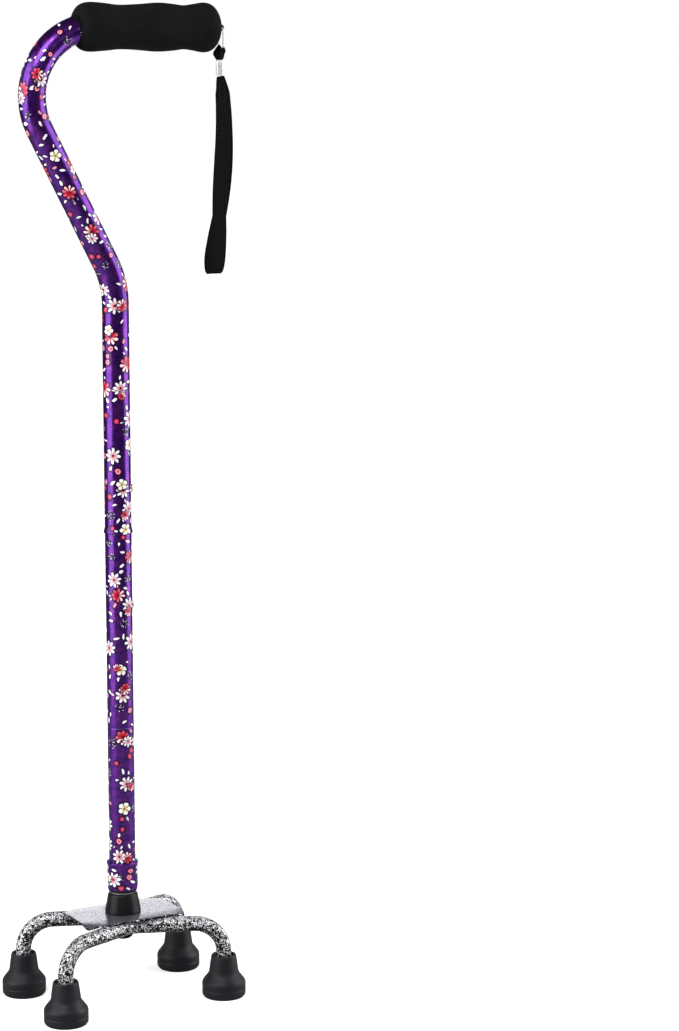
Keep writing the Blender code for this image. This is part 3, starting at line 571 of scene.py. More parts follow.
def weld(made):
    """Merges points that coincide, as where a turned outline meets its axis, and turns the faces outward."""
    build = bmesh.new()
    build.from_mesh(made.data)
    bmesh.ops.remove_doubles(build, verts=build.verts, dist=1e-6)
    bmesh.ops.dissolve_degenerate(build, edges=build.edges, dist=1e-7)
    bmesh.ops.recalc_face_normals(build, faces=build.faces)
    build.to_mesh(made.data)
    build.free()


def turns(sides):
    """Angles of `sides` equal steps round a full turn."""
    return [2 * math.pi * j / sides for j in range(sides)]


def circle(centre, u, v, radius, sides):
    """Points of a circle whose plane is along u and v."""
    return [centre + (u * math.cos(a) + v * math.sin(a)) * radius for a in turns(sides)]


def closed_rings(rings, wrap_of=None, loop=False):
    """Points and faces of rings joined in order; with loop the last ring joins the first."""
    points = [p for ring in rings for p in ring]
    sides = len(rings[0])
    faces, wraps = [], []
    count = len(rings)
    for i in range(count if loop else count - 1):
        k = (i + 1) % count
        for j in range(sides):
            n = (j + 1) % sides
            faces.append((i * sides + j, i * sides + n, k * sides + n, k * sides + j))
            if wrap_of:
                low = wrap_of(i, j), wrap_of(i, j + 1)
                high = wrap_of(i + 1, j + 1), wrap_of(i + 1, j)
                wraps.append(low + high)
    return points, faces, wraps


def capped(faces, wraps, sides, count):
    """Adds end faces to rings whose ends are open."""
    faces += [tuple(range(sides))[::-1], tuple(range((count - 1) * sides, count * sides))]
    if wraps:
        wraps += [((0, 0),) * sides] * 2


def smooth_points(points, per_span):
    """Points of a Catmull-Rom curve through `points`."""
    known = [Vector(p) for p in points]
    padded = [2 * known[0] - known[1]] + known + [2 * known[-1] - known[-2]]
    made = []
    for a, b, c, d in zip(padded, padded[1:], padded[2:], padded[3:]):
        for step in range(per_span):
            t = step / per_span
            made.append(0.5 * ((2 * b) + (c - a) * t + (2 * a - 5 * b + 4 * c - d) * t ** 2
                               + (3 * b - a - 3 * c + d) * t ** 3))
    return made + [known[-1]]


def filleted(outline, radius, steps=4, closed=True):
    """The outline with each corner rounded by `radius`, or less where its sides are short."""
    corners = [Vector(p).to_2d() for p in outline]
    made = []
    for i, corner in enumerate(corners):
        if not closed and i in (0, len(corners) - 1):
            made.append(corner)
            continue
        before = corners[i - 1] - corner
        after = corners[(i + 1) % len(corners)] - corner
        room = min(radius, 0.45 * before.length, 0.45 * after.length)
        start, end = corner + before.normalized() * room, corner + after.normalized() * room
        for step in range(steps + 1):
            t = step / steps
            made.append(start * (1 - t) ** 2 + corner * 2 * t * (1 - t) + end * t ** 2)
    return [(p.x, p.y) for p in made]


def refined(outline, longest):
    """The open outline with points added so that no side is longer than `longest`."""
    made = []
    for a, b in zip(outline, outline[1:]):
        count = max(1, math.ceil(math.dist(a, b) / longest))
        for step in range(count):
            t = step / count
            made.append((a[0] + (b[0] - a[0]) * t, a[1] + (b[1] - a[1]) * t))
    return made + [outline[-1]]


def rounded_box(half_wide, half_tall, corner, first=0):
    """Outline of a rectangle with rounded corners, counter-clockwise from its corner number `first`."""
    made = []
    for number in range(first, first + 4):
        start = number % 4 * 90
        side_x, side_y = ((1, 1), (-1, 1), (-1, -1), (1, -1))[number % 4]
        for i in range(13):
            a = math.radians(start + 90 * i / 12)
            made.append((side_x * (half_wide - corner) + corner * math.cos(a),
                         side_y * (half_tall - corner) + corner * math.sin(a)))
    return made


def lathe(name, outline, place, given, body, replaced=(), sides=96, along="Z", fillet=0.0003,
          shape=None, sharp=35):
    """A solid turned about its axis from (radius, height) points; it starts and ends on the axis, or is a ring.

    shape(radius, height, angle) gives the radius where the section is not round.
    """
    solid = outline[0][0] == 0
    section = filleted(outline, fillet, 3, closed=not solid) if fillet else outline
    rings = []
    for radius, height in section:
        ring = []
        for a in turns(sides):
            r = shape(radius, height, a) if shape else radius
            ring.append(Vector((r * math.cos(a), r * math.sin(a), height)))
        rings.append(ring)
    points, faces, _ = closed_rings(rings, loop=not solid)
    if along == "X":
        turn = Matrix.Rotation(math.pi / 2, 3, "Y")
        points = [turn @ p for p in points]
    return piece(name, [place + p for p in points], faces, [given], body, replaced, sharp=sharp)


def frames(path, side, level=False):
    """At each path point: its place, and its section's two directions.

    They are carried along from `side` without twist or, with level, kept as near to `side` as they can be.
    """
    made = []
    known = Vector(side)
    for i, point in enumerate(path):
        tangent = (path[min(i + 1, len(path) - 1)] - path[max(i - 1, 0)]).normalized()
        if level:
            known = Vector(side)
        known = (known - tangent * known.dot(tangent)).normalized()
        made.append((point, known, tangent.cross(known)))
    return made


def lengths(path):
    """Distance along the path at each of its points."""
    made = [0.0]
    for a, b in zip(path, path[1:]):
        made.append(made[-1] + (b - a).length)
    return made


def spaced(path, pitch):
    """The path again with straight stretches cut into steps of about `pitch`."""
    made = []
    for a, b in zip(path, path[1:]):
        count = max(1, math.ceil((b - a).length / pitch))
        made += [a.lerp(b, i / count) for i in range(count)]
    return made + [path[-1]]


# --- printed tubes ------------------------------------------------------------------------------------------
BUTTON_SIDE = -math.pi / 2  # a tube's frame starts with u along +Y, so +X is at minus a quarter turn
PRINT, BARE = 0, 1          # a printed tube's material slots


def drilled(angles, heights, holes):
    """For a tube's grid, its points moved onto each hole's rim, and the cells inside the holes."""
    shift = {}
    gone = set()
    for hole_angle, hole_height, radius in holes:
        def offset(i, j):
            turn = (angles[j] - hole_angle + math.pi) % (2 * math.pi) - math.pi
            return Vector((turn * TUBE_R, heights[i] - hole_height))
        near_rows = [i for i, h in enumerate(heights) if abs(h - hole_height) < radius + 0.003]
        columns = range(len(angles))
        for i in near_rows[:-1]:
            for j in columns:
                middle = (offset(i, j) + offset(i + 1, j)) / 2 + Vector((TUBE_R * math.pi / len(angles), 0))
                if middle.length < radius:
                    gone.add((i, j))
        for i in near_rows:
            for j in columns:
                around = [(i + a, (j + b) % len(angles)) for a in (-1, 0) for b in (-1, 0)]
                inside = [cell in gone for cell in around]
                if any(inside) and not all(inside):
                    way = offset(i, j).normalized() * radius
                    shift[(i, j)] = (hole_angle + way.x / TUBE_R, hole_height + way.y)
    return shift, gone


def scatter(mesh, low, high, seed, placed=(), placed_small=()):
    """Writes each face's nearest flower, flower on top and small motif, for the print material.

    placed gives fixed flowers as kind, share of the way round, height, radius and turn, and placed_small fixed
    small motifs in the same way with a tint last.
    """
    rng = random.Random(seed)
    area = GIRTH * (high - low)

    def apart(a, b):
        across = abs(a[0] - b[0]) % GIRTH
        return math.hypot(min(across, GIRTH - across), a[1] - b[1])

    def thrown(kinds, count, room, taken, margin):
        """Motifs at random places that keep `room` from each other and `margin` from those taken."""
        made = []
        for _ in range(int(count * 40)):
            if len(made) >= count:
                break
            kind = rng.choices(list(kinds), [share for share, _, _ in kinds.values()])[0]
            size, tint = rng.uniform(*kinds[kind][1:]), rng.random()
            spot = (rng.uniform(0, GIRTH), rng.uniform(low + 0.002, high - 0.002))
            if all(apart(spot, other[0]) > room + size + other[2] for other in made) and all(
                    apart(spot, other[0]) > margin + size * 0.8 + other[2] for other in taken):
                made.append((spot, kind, size, rng.uniform(0, 2 * math.pi), tint))
        return made

    def partners(flowers):
        """A smaller flower overlapping most flowers, and petals flung out round each."""
        tops, flung = [], []
        for spot, kind, size, _, _ in flowers:
            way = rng.uniform(0, 2 * math.pi)
            if rng.random() < 0.62:
                other = rng.choice([k for k in (RED_DAISY, CREAM_FLOWER, WHITE_DAISY, WHITE_DAISY) if k != kind])
                reach, width = size * rng.uniform(0.80, 1.05), size * rng.uniform(0.58, 0.80)
                tops.append(((spot[0] + reach * math.cos(way), spot[1] + reach * math.sin(way)), other, width,
                             rng.uniform(0, 2 * math.pi), 0.0))
            for k in range(rng.choice((1, 2, 2, 3))):
                turn = way + math.pi * (0.55 + 0.45 * k) + rng.uniform(-0.3, 0.3)
                length = rng.uniform(0.0015, 0.0024)
                reach = size + length + rng.uniform(0.0006, 0.0016)
                flung.append(((spot[0] + reach * math.cos(turn), spot[1] + reach * math.sin(turn)),
                              rng.choice((LEAF, DROP)), length, turn - math.pi / 2 + rng.uniform(-0.4, 0.4),
                              rng.random()))
        return tops, flung

    per_area = area / 7.0e-3
    blooms = [((u * GIRTH, v), kind, size, turn, 0.0) for kind, u, v, size, turn in placed]
    blooms += thrown(FLOWER_KINDS, 10.5 * per_area, 0.0008, blooms, 0.0008)
    tops, flung = partners(blooms)
    fixed = [((u * GIRTH, v), kind, size, turn, tint) for kind, u, v, size, turn, tint in placed_small]
    smalls = fixed + [m for m in flung if all(apart(m[0], f[0]) > m[2] + f[2] for f in fixed)]
    smalls += thrown(SMALL_KINDS, 42 * per_area, 0.0005, blooms + tops + smalls, 0.0)
    layer = mesh.uv_layers["wrap"].data
    middles = []
    for polygon in mesh.polygons:
        corners = [layer[i].uv for i in polygon.loop_indices]
        middles.append([sum(c[axis] for c in corners) / len(corners) for axis in (0, 1)])
    for name, motifs in (("bloom", blooms), ("top", tops), ("small", smalls)):
        places, kinds = [], []
        by_height = sorted(motifs, key=lambda m: m[0][1])
        for u, v in middles:
            best, best_far = None, 1.0
            for motif in by_height:
                rise = motif[0][1] - v
                if rise < -MOTIF_REACH:
                    continue
                if rise > MOTIF_REACH:
                    break
                far = apart((u, v), motif[0]) - motif[2]
                if far < best_far:
                    best, best_far = motif, far
            if best is None:
                places += [u, v + 1.0, 0.0]
                kinds += [0.0, 0.001, 0.0]  # a tiny motif a metre away shows nowhere
                continue
            spot, kind, size, turn, tint = best
            lap = round((u - spot[0]) / GIRTH) * GIRTH
            places += [spot[0] + lap, spot[1], turn]
            kinds += [float(kind), size, tint]
        for label, values in (("_place", places), ("_kind", kinds)):
            mesh.attributes.new(name + label, "FLOAT_VECTOR", "FACE").data.foreach_set("vector", values)


def printed_tube(name, path, outer, inner, body, replaced, seed, holes=(), start=0.0, side=(0, 1, 0), placed=()):
    """A tube along a path with a printed outside and bare metal inside and at its ends.

    holes are (angle, height, radius); heights count from `start` at the path's beginning.
    """
    sides = TUBE_SIDES
    angles = turns(sides)
    heights = [start + far for far in lengths(path)]
    shift, gone = drilled(angles, heights, holes)
    skins = []
    for radii in (outer, inner):
        rings = []
        for i, (point, u, v) in enumerate(frames(path, side)):
            tangent = u.cross(v)
            ring = []
            for j, angle in enumerate(angles):
                turn, height = shift.get((i, j), (angle, heights[i]))
                ring.append(point + tangent * (height - heights[i])
                            + (u * math.cos(turn) + v * math.sin(turn)) * radii[i])
            rings.append(ring)
        skins.append(rings)
    rows = len(path)
    points = [p for rings in skins for ring in rings for p in ring]
    faces, wraps, chosen = [], [], []
    count = rows * sides

    def where(i, j):
        turn, height = shift.get((i, j % sides), (angles[j % sides], heights[i]))
        if j >= sides:
            turn += 2 * math.pi
        return (turn * TUBE_R, height)

    for i in range(rows - 1):
        for j in range(sides):
            if (i, j) in gone:
                continue
            n = (j + 1) % sides
            quad = (i * sides + j, i * sides + n, (i + 1) * sides + n, (i + 1) * sides + j)
            corner_wraps = (where(i, j), where(i, j + 1), where(i + 1, j + 1), where(i + 1, j))
            faces += [quad, tuple(count + k for k in reversed(quad))]
            wraps += [corner_wraps, corner_wraps[::-1]]
            chosen += [PRINT, BARE]
            for (di, dj), (a, b) in (((-1, 0), (0, 1)), ((0, 1), (1, 2)), ((1, 0), (2, 3)), ((0, -1), (3, 0))):
                if (i + di, (j + dj) % sides) in gone:
                    faces.append((quad[b], quad[a], count + quad[a], count + quad[b]))
                    wraps.append((corner_wraps[b], corner_wraps[a], corner_wraps[a], corner_wraps[b]))
                    chosen.append(BARE)
    for i, order in ((0, 1), (rows - 1, -1)):
        for j in range(sides):
            n = (j + 1) % sides
            quad = (i * sides + n, i * sides + j, count + i * sides + j, count + i * sides + n)
            faces.append(quad[::order])
            wraps.append((where(i, j + 1), where(i, j), where(i, j), where(i, j + 1))[::order])
            chosen.append(BARE)
    made = piece(name, points, faces, [MATS["printed"], MATS["aluminium"]], body, replaced,
                 wraps, chosen, sharp=50, welded=False)
    scatter(made.data, heights[0], heights[-1], seed, placed)
    return made


def eased_tube(low, high, radius, bore, bevel):
    """Path, outer and inner radii of a straight tube whose outside is eased at both ends."""
    path = spaced([at(0, 0, low), at(0, 0, high)], PITCH)
    first = path[0] + (path[1] - path[0]).normalized() * bevel
    last = path[-1] + (path[-2] - path[-1]).normalized() * bevel
    path = [path[0], first] + path[1:-1] + [last, path[-1]]
    far = lengths(path)
    outer = [radius - max(0.0, bevel - min(along, far[-1] - along)) * 0.7 for along in far]
    return path, outer, [bore] * len(path)


def shaft_tubes():
    lower, outer, inner = eased_tube(COLLAR_Z + 0.0043, SEAM_Z - GAP, TUBE_R, BORE_R, bevel=0.00025)
    printed_tube("lower_tube", lower, outer, inner, "base", ["lower_shaft_tube"], seed=11, start=lower[0].z,
                 placed=((WHITE_DAISY, 0.395, 0.1235, 0.0062, 0.4), (RED_DAISY, 0.495, 0.1225, 0.0048, 0.1)))
    shoulder = MOUTH_Z - GAP
    rows = [(at(0, 0, SEAM_Z), TUBE_R - 0.00015, BORE_R), (at(0, 0, SEAM_Z + 0.0003), TUBE_R, BORE_R)]
    for point in spaced([at(0, 0, SEAM_Z + 0.001), at(0, 0, shoulder - 0.0004)], PITCH):
        rows.append((point, TUBE_R, BORE_R))
    for t in (i / 8 for i in range(9)):
        ease = t * t * (3 - 2 * t)
        rows.append((at(0, 0, shoulder + SHOULDER_HEIGHT * t), TUBE_R + (INNER_R - TUBE_R) * ease,
                     BORE_R + (INNER_BORE_R - BORE_R) * ease))
    for point in spaced([at(0, 0, shoulder + 0.0050), at(0, 0, SPIGOT_TOP_Z - 0.0006)], PITCH):
        rows.append((point, INNER_R, INNER_BORE_R))
    rows.append((at(0, 0, SPIGOT_TOP_Z), INNER_R - 0.0005, INNER_BORE_R))
    path, outer, inner = zip(*rows)
    holes = [(BUTTON_SIDE, ADJUST_BUTTON_Z - i * HOLE_PITCH, HOLE_R) for i in range(4)]
    holes.append((BUTTON_SIDE, LOCK_BUTTON_Z, HOLE_R))
    upper = printed_tube("upper_tube", path, outer, inner, "shaft", ["upper_shaft_tube"], seed=23,
                         holes=holes, start=SEAM_Z)
    bare_above(upper, shoulder + 0.0030)


def bare_above(made, height):
    """Leaves a tube without its print above a height, as on the spigot that the handle tube covers."""
    for polygon in made.data.polygons:
        if polygon.center.z > height:
            polygon.material_index = BARE


def neck_centre():
    low_end = Vector((-LOW_BEND_R * (1 - math.cos(LEAN)), 0, LOW_BEND_Z + LOW_BEND_R * math.sin(LEAN)))
    climb = (GRIP_Z - NECK_R * (1 + math.sin(LEAN)) - low_end.z) / math.cos(LEAN)
    start = low_end + climb * Vector((-math.sin(LEAN), 0, math.cos(LEAN)))
    return start + NECK_R * Vector((math.cos(LEAN), 0, math.sin(LEAN)))


def bent_path(end_x):
    """The handle tube's middle line above its straight stretch."""
    path = []
    low_steps, neck_steps = 24, 90
    for i in range(low_steps + 1):
        turn = LEAN * i / low_steps
        path.append(at(-LOW_BEND_R * (1 - math.cos(turn)), 0, LOW_BEND_Z + LOW_BEND_R * math.sin(turn)))
    centre = neck_centre() + at(0, 0, 0)
    for i in range(neck_steps + 1):
        turn = LEAN - (LEAN + math.pi / 2) * i / neck_steps
        path.append(centre - NECK_R * Vector((math.cos(turn), 0, math.sin(turn))))
    path.append(at(end_x, 0, GRIP_Z))
    return path


def handle_tube():
    mouth = MOUTH_Z + GAP
    # height above the mouth, outer radius and inner radius
    flare = ((0.0, 0.01172, 0.0112), (0.0003, 0.01195, 0.0112), (0.0007, 0.01205, 0.0111),
             (0.0013, 0.01205, 0.0110), (0.0020, 0.01192, 0.0107), (0.0030, 0.01158, 0.0102),
             (0.0042, 0.01126, 0.0098), (0.0055, TUBE_R, BORE_R))
    path = [at(0, 0, mouth + up) for up, _, _ in flare]
    outer, inner = [r for _, r, _ in flare], [r for _, _, r in flare]
    rest = spaced([at(0, 0, mouth + 0.0065)] + bent_path(TUBE_END_X), PITCH)
    path += rest
    outer += [TUBE_R] * len(rest)
    inner += [BORE_R] * len(rest)
    holes = [(BUTTON_SIDE, LOCK_BUTTON_Z, HOLE_R)]
    printed_tube("gooseneck_tube", path, outer, inner, "handle", ["handle_tube"], seed=37,
                 holes=holes, start=mouth)


def collar():
    """Printed sleeve over the lower tube's end, with a black band and, at its foot, a line of pale nickel that is
    a painted glint.
    """
    outline = [(TUBE_R + GAP, COLLAR_TOP_Z), (0.0129, COLLAR_TOP_Z), (0.0133, COLLAR_TOP_Z - 0.0004),
               (0.0133, COLLAR_TOP_Z - 0.0018), (0.0129, COLLAR_TOP_Z - 0.0024), (0.0129, COLLAR_Z + 0.0064),
               (0.0126, COLLAR_Z + 0.0036), (0.0118, COLLAR_Z + 0.0014), (0.0106, COLLAR_Z)]
    outside = refined(filleted(outline[1:], 0.0006, 3, closed=False), PITCH)
    inside = [(BOLT_R + GAP, COLLAR_Z), (BOLT_R + GAP, COLLAR_Z + 0.0040), (TUBE_R + GAP, COLLAR_Z + 0.0040),
              outline[0]]
    profile = outside + inside
    rings = [[at(r * math.cos(a), r * math.sin(a), z) for a in turns(COLLAR_SIDES)] for r, z in profile]
    heights, fall = [], COLLAR_TOP_Z
    for a, b in zip([profile[0]] + profile, profile):
        fall -= math.dist(a, b)
        heights.append(fall)

    def where(i, j):
        return (GIRTH * j / COLLAR_SIDES, heights[i % len(heights)])

    points, faces, wraps = closed_rings(rings, where, loop=True)
    # Painted glint: the collar's lowest rows take the pale nickel, for the line of light along its foot.
    printed, glint, black = range(3)
    last_outside, chosen = len(outside) - 1, []
    for row, (_, height) in enumerate(profile):
        low = min(height, profile[(row + 1) % len(profile)][1]) - COLLAR_Z
        if row == len(profile) - 1 or (row < last_outside and low > COLLAR_BAND):
            shade = printed
        else:
            shade = black if row < last_outside and low > COLLAR_GLINT_TOP else glint
        chosen += [shade] * COLLAR_SIDES
    made = piece("printed_collar", points, faces, [MATS["printed"], MATS["chrome"], MATS["plastic"]], "base",
                 ["base_collar"], wraps, chosen, sharp=50)
    flowers = ((WHITE_DAISY, 0.575, COLLAR_Z + 0.0130, 0.0064, 0.2),
               (CREAM_FLOWER, 0.15, COLLAR_Z + 0.0140, 0.0048, 1.0))
    smalls = ((BERRY, 0.665, COLLAR_Z + 0.0062, 0.0024, 0.3, 0.9),
              (BERRY, 0.770, COLLAR_Z + 0.0205, 0.0022, 0.0, 0.1),
              (LEAF, 0.660, COLLAR_Z + 0.0150, 0.0028, 0.7, 0.9),
              (DROP, 0.740, COLLAR_Z + 0.0055, 0.0018, 1.2, 0.1))
    scatter(made.data, COLLAR_Z + 0.001, COLLAR_TOP_Z, seed=5, placed=flowers, placed_small=smalls)


# --- base ---------------------------------------------------------------------------------------------------
def feet():
    """Rubber tips: a thin-lipped neck that flares to a wide tread, with a bead where the flare ends."""
    outside = [(0.0086, FOOT_HEIGHT - 0.0012), (0.0094, FOOT_HEIGHT), (0.0101, FOOT_HEIGHT),
               (0.0107, FOOT_HEIGHT - 0.0012), (0.0126, 0.0212), (0.0133, 0.0197), (0.0177, 0.0140),
               (0.0185, 0.0122), (0.0185, 0.0080), (0.0182, 0.0076), (0.0182, 0.0071), (0.0185, 0.0066),
               (0.0184, 0.0018), (0.0170, 0.0)]
    curve = filleted(outside, 0.0009, 4, closed=False)
    tread = []
    for inner_r, outer_r in ((0.0136, 0.0150), (0.0104, 0.0122)):
        tread += [(outer_r, 0.0), (outer_r - 0.0002, 0.0012), (inner_r + 0.0002, 0.0012), (inner_r, 0.0)]
    middle = [(0.0088, 0.0), (0.0084, 0.0014), (0, 0.0014)]
    socket = [(0, 0.0100), (0.0068, 0.0100), (0.0068, FOOT_HEIGHT - 0.0030)]
    outline = socket + curve + tread + middle
    for x, x_name in ((-1, "left"), (1, "right")):
        for y, y_name in ((-1, "front"), (1, "rear")):
            name = f"{y_name}_{x_name}"
            place = at(x * FOOT_X, y * FOOT_Y, 0)
            lathe(f"rubber_tip_{name}", outline, place, MATS["rubber"], "base", [f"foot_{name}"],
                  sides=96, fillet=0, sharp=32)


def leg_tubes():
    """Each leg tube comes up out of one foot, runs in to a mitred kink and down into the other foot."""
    for side, name in ((-1, "front"), (1, "rear")):
        foot = Vector((FOOT_X, side * FOOT_Y, 0))
        kink = Vector((0, side * LEG_KINK_Y, 0))
        inward = (kink - foot).normalized()
        half = [Vector((foot.x, foot.y, LEG_LOW_Z + PITCH * i)) for i in range(25)]
        half = [p for p in half if p.z < LEG_Z - LEG_BEND_R - 0.0004]
        for i in range(31):
            turn = math.pi / 2 * i / 30
            half.append(Vector((foot.x, foot.y, LEG_Z - LEG_BEND_R + LEG_BEND_R * math.sin(turn)))
                        + inward * LEG_BEND_R * (1 - math.cos(turn)))
        kink = Vector((kink.x, kink.y, LEG_Z))
        half = half[:-1] + spaced([half[-1], kink - inward * KINK_LENGTH], 0.0015)
        for back in (0.0046, 0.0032, 0.0020, 0.0011, 0.0005):
            half.append(kink - inward * back + Vector((0, side * KINK_OUT, 0)) * (1 - back / KINK_LENGTH) ** 1.5)
        middle = Vector((0, side * (LEG_KINK_Y + KINK_MIDDLE_OUT), LEG_Z))
        path = half + [middle] + [Vector((-p.x, p.y, p.z)) for p in reversed(half)]
        path = [p + at(0, 0, 0) for p in path]
        rings, inner_rings = [], []
        for point, u, v in frames(path, (0, 1, 0)):
            pinch = max(0.0, 1 - abs(point.x - SHAFT_X) / 0.0022) ** 2
            rings.append([])
            inner_rings.append([])
            for a in turns(48):
                way = u * math.cos(a) + v * math.sin(a)
                outward = max(0.0, way.y * side)
                rings[-1].append(point + way * (LEG_R * (1 - 0.17 * pinch * (0.35 + 0.65 * outward))))
                inner_rings[-1].append(point + way * LEG_BORE_R)
        points, faces, _ = closed_rings(rings + inner_rings[::-1], loop=True)
        piece(f"{name}_leg", points, faces, [MATS["vein"]], "base", [f"{name}_leg_tube"], sharp=40)


def plate_drop(x, y):
    """How far the plate has bent down at a point."""
    across = max(abs(y) - PLATE_FLAT_Y, 0) / (PLATE_HALF_Y - PLATE_FLAT_Y)
    along = max(abs(x) - PLATE_TIP_X, 0) / (PLATE_HALF_X - PLATE_TIP_X)
    return (PLATE_CROWN + PLATE_TIP_DROP * along ** 2) * across ** 2


def base_plate():
    """Pressed plate with rounded corners and eased edges, bent down along its long sides."""
    build = bmesh.new()
    outline = rounded_box(PLATE_HALF_X, PLATE_HALF_Y, PLATE_CORNER_R)
    bottom = [build.verts.new((x, y, 0)) for x, y in outline]
    build.faces.new(bottom)
    for across, half, cells in ((Vector((0, 1, 0)), PLATE_HALF_Y, 36), (Vector((1, 0, 0)), PLATE_HALF_X, 60)):
        for i in range(1, cells):
            bmesh.ops.bisect_plane(build, geom=build.verts[:] + build.edges[:] + build.faces[:],
                                   plane_co=across * (-half + 2 * half * i / cells), plane_no=across)
    grown = bmesh.ops.extrude_face_region(build, geom=build.faces[:])
    moved = [v for v in grown["geom"] if isinstance(v, bmesh.types.BMVert)]
    bmesh.ops.translate(build, verts=moved, vec=(0, 0, PLATE_THICK))
    bmesh.ops.recalc_face_normals(build, faces=build.faces)
    rim = [e for e in build.edges if len(e.link_faces) == 2 and e.calc_face_angle(0) > 1.0
           and abs(e.verts[0].co.z - e.verts[1].co.z) < 1e-6]
    bmesh.ops.bevel(build, geom=rim, offset=0.0005, segments=3, affect="EDGES", profile=0.5)
    for vertex in build.verts:
        vertex.co.z -= plate_drop(vertex.co.x, vertex.co.y)
        vertex.co += at(0, 0, PLATE_TOP_Z - PLATE_THICK)
    made = from_build("pressed_plate", build, [MATS["plate"], MATS["rim"]], 50)
    for polygon in made.data.polygons:
        if abs(polygon.normal.z) < 0.90:
            polygon.material_index = 1  # the rim's coat, painted near black as shade
    attach(made, "base", ["base_plate"])


def hexagon(flats, radius, angle):
    """Radius of a hexagon of that half width across flats, at an angle, capped by a round radius."""
    sector = (angle + math.pi / 6) % (math.pi / 3) - math.pi / 6
    return min(radius, flats / math.cos(sector))


def hub():
    """Conical boss on the plate, and the bolt, washer and spacer under it."""
    boss_low, boss_high = PLATE_TOP_Z + GAP, 0.0900
    bore = BOLT_R + GAP
    boss = [(bore, boss_low), (0.0146, boss_low), (0.0151, boss_low + 0.0005), (0.0151, 0.0750),
            (0.0126, boss_high - 0.0013), (0.0118, boss_high), (bore, boss_high)]
    lathe("conical_boss", boss, at(0, 0, 0), MATS["plastic"], "base", ["base_boss"],
          fillet=0.0005, sharp=60)
    head_low, head_high, head_r, bolt_top = 0.0499, 0.0568, 0.0083, 0.1120
    flats, depth = 0.0030, 0.0024  # of the hexagon recess

    def recess(radius, height, angle):
        """Turns the round middle of the head into a hexagon hole."""
        if radius <= flats * 1.2 and height < head_low + depth + 0.0002:
            return hexagon(flats, 1.0, angle) * (radius / flats if radius < flats else 1.0)
        return radius

    head = [(0, head_low + depth), (flats, head_low + depth), (flats, head_low), (0.0046, head_low),
            (0.0064, head_low + 0.0006), (0.0078, head_low + 0.0018), (head_r, head_low + 0.0032),
            (head_r, head_high), (BOLT_R, head_high), (BOLT_R, bolt_top - 0.0015), (0.0034, bolt_top),
            (0, bolt_top)]
    lathe("socket_bolt", head, at(0, 0, 0), MATS["bolt"], "base", ["base_bolt"],
          fillet=0, shape=recess, sharp=30)
    washer_high = head_high + GAP + 0.0015
    for name, replaced, radius, low, high in (
            ("flat_washer", "bolt_washer", 0.0080, head_high + GAP, washer_high),
            ("spacer_sleeve", "bolt_sleeve", 0.0072, washer_high + GAP, PLATE_TOP_Z - PLATE_THICK - GAP)):
        section = [(bore, low), (radius, low), (radius, high), (bore, high)]
        lathe(name, section, at(0, 0, 0), MATS["steel"], "base", [replaced])


def extension():
    """Bare inner tube with a button hole, which shows when the shaft is drawn out."""
    path, outer, inner = eased_tube(EXTENSION_LOW_Z, EXTENSION_TOP_Z, INNER_R, INNER_BORE_R, bevel=0.0006)
    made = printed_tube("inner_tube", path, outer, inner, "base", ["extension_tube"], seed=3,
                        holes=[(BUTTON_SIDE, ADJUST_BUTTON_Z, HOLE_R)], start=path[0].z)
    bare_above(made, 0)


def snap_button(name, height, tip_x, body, replaced):
    """Domed brass pin with a small step at its foot."""
    dome = tip_x - TUBE_R
    outline = [(0, 0.0064), (0.0031, 0.0064), (BUTTON_R, 0.0068), (BUTTON_R, tip_x - 0.65 * dome)]
    for degrees in range(10, 90, 10):
        a = math.radians(degrees)
        outline.append((BUTTON_R * math.cos(a) ** 0.8, tip_x - 0.65 * dome * (1 - math.sin(a))))
    outline.append((0, tip_x))
    lathe(name, outline, at(0, 0, height), MATS["brass"], body, [replaced], sides=48, along="X",
          fillet=0, sharp=50)


def elastic():
    """Braided cord between its two knots, which on the cane draws out as the handle comes off; here it is shown at
    rest on no body.
    """
    knot, cord, knot_half = 0.0040, 0.0022, 0.0030
    low, high = 0.4405, 0.5700
    profile = [(0.0005, low)]
    for upper, centre in ((False, 0.4435), (True, high - knot_half)):
        if upper:
            profile += [(cord, 0.4472 + 0.001 * i) for i in range(118)]
        for i in range(1, 12):
            a = math.pi * i / 12
            profile.append((max(0.0012 if upper == (i > 9) else cord, knot * math.sin(a)),
                            centre - knot_half * math.cos(a)))
    profile.append((0.0005, high))
    sides, strands, twist = 24, 6, 2600
    rings = []
    for r, z in profile:
        ring = []
        for a in turns(sides):
            strand = 1 + 0.035 * math.sin(strands * a + z * twist) + 0.035 * math.sin(strands * a - z * twist)
            ring.append(at(r * strand * math.cos(a), r * strand * math.sin(a), z))
        rings.append(ring)

    def where(i, j):
        return (0.0138 * j / sides, profile[i][1])

    points, faces, wraps = closed_rings(rings, where)
    capped(faces, wraps, sides, len(rings))
    made = piece("braided_elastic", points, faces, [MATS["elastic"]], None, wraps=wraps)
    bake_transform(made)
    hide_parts("elastic_cord")


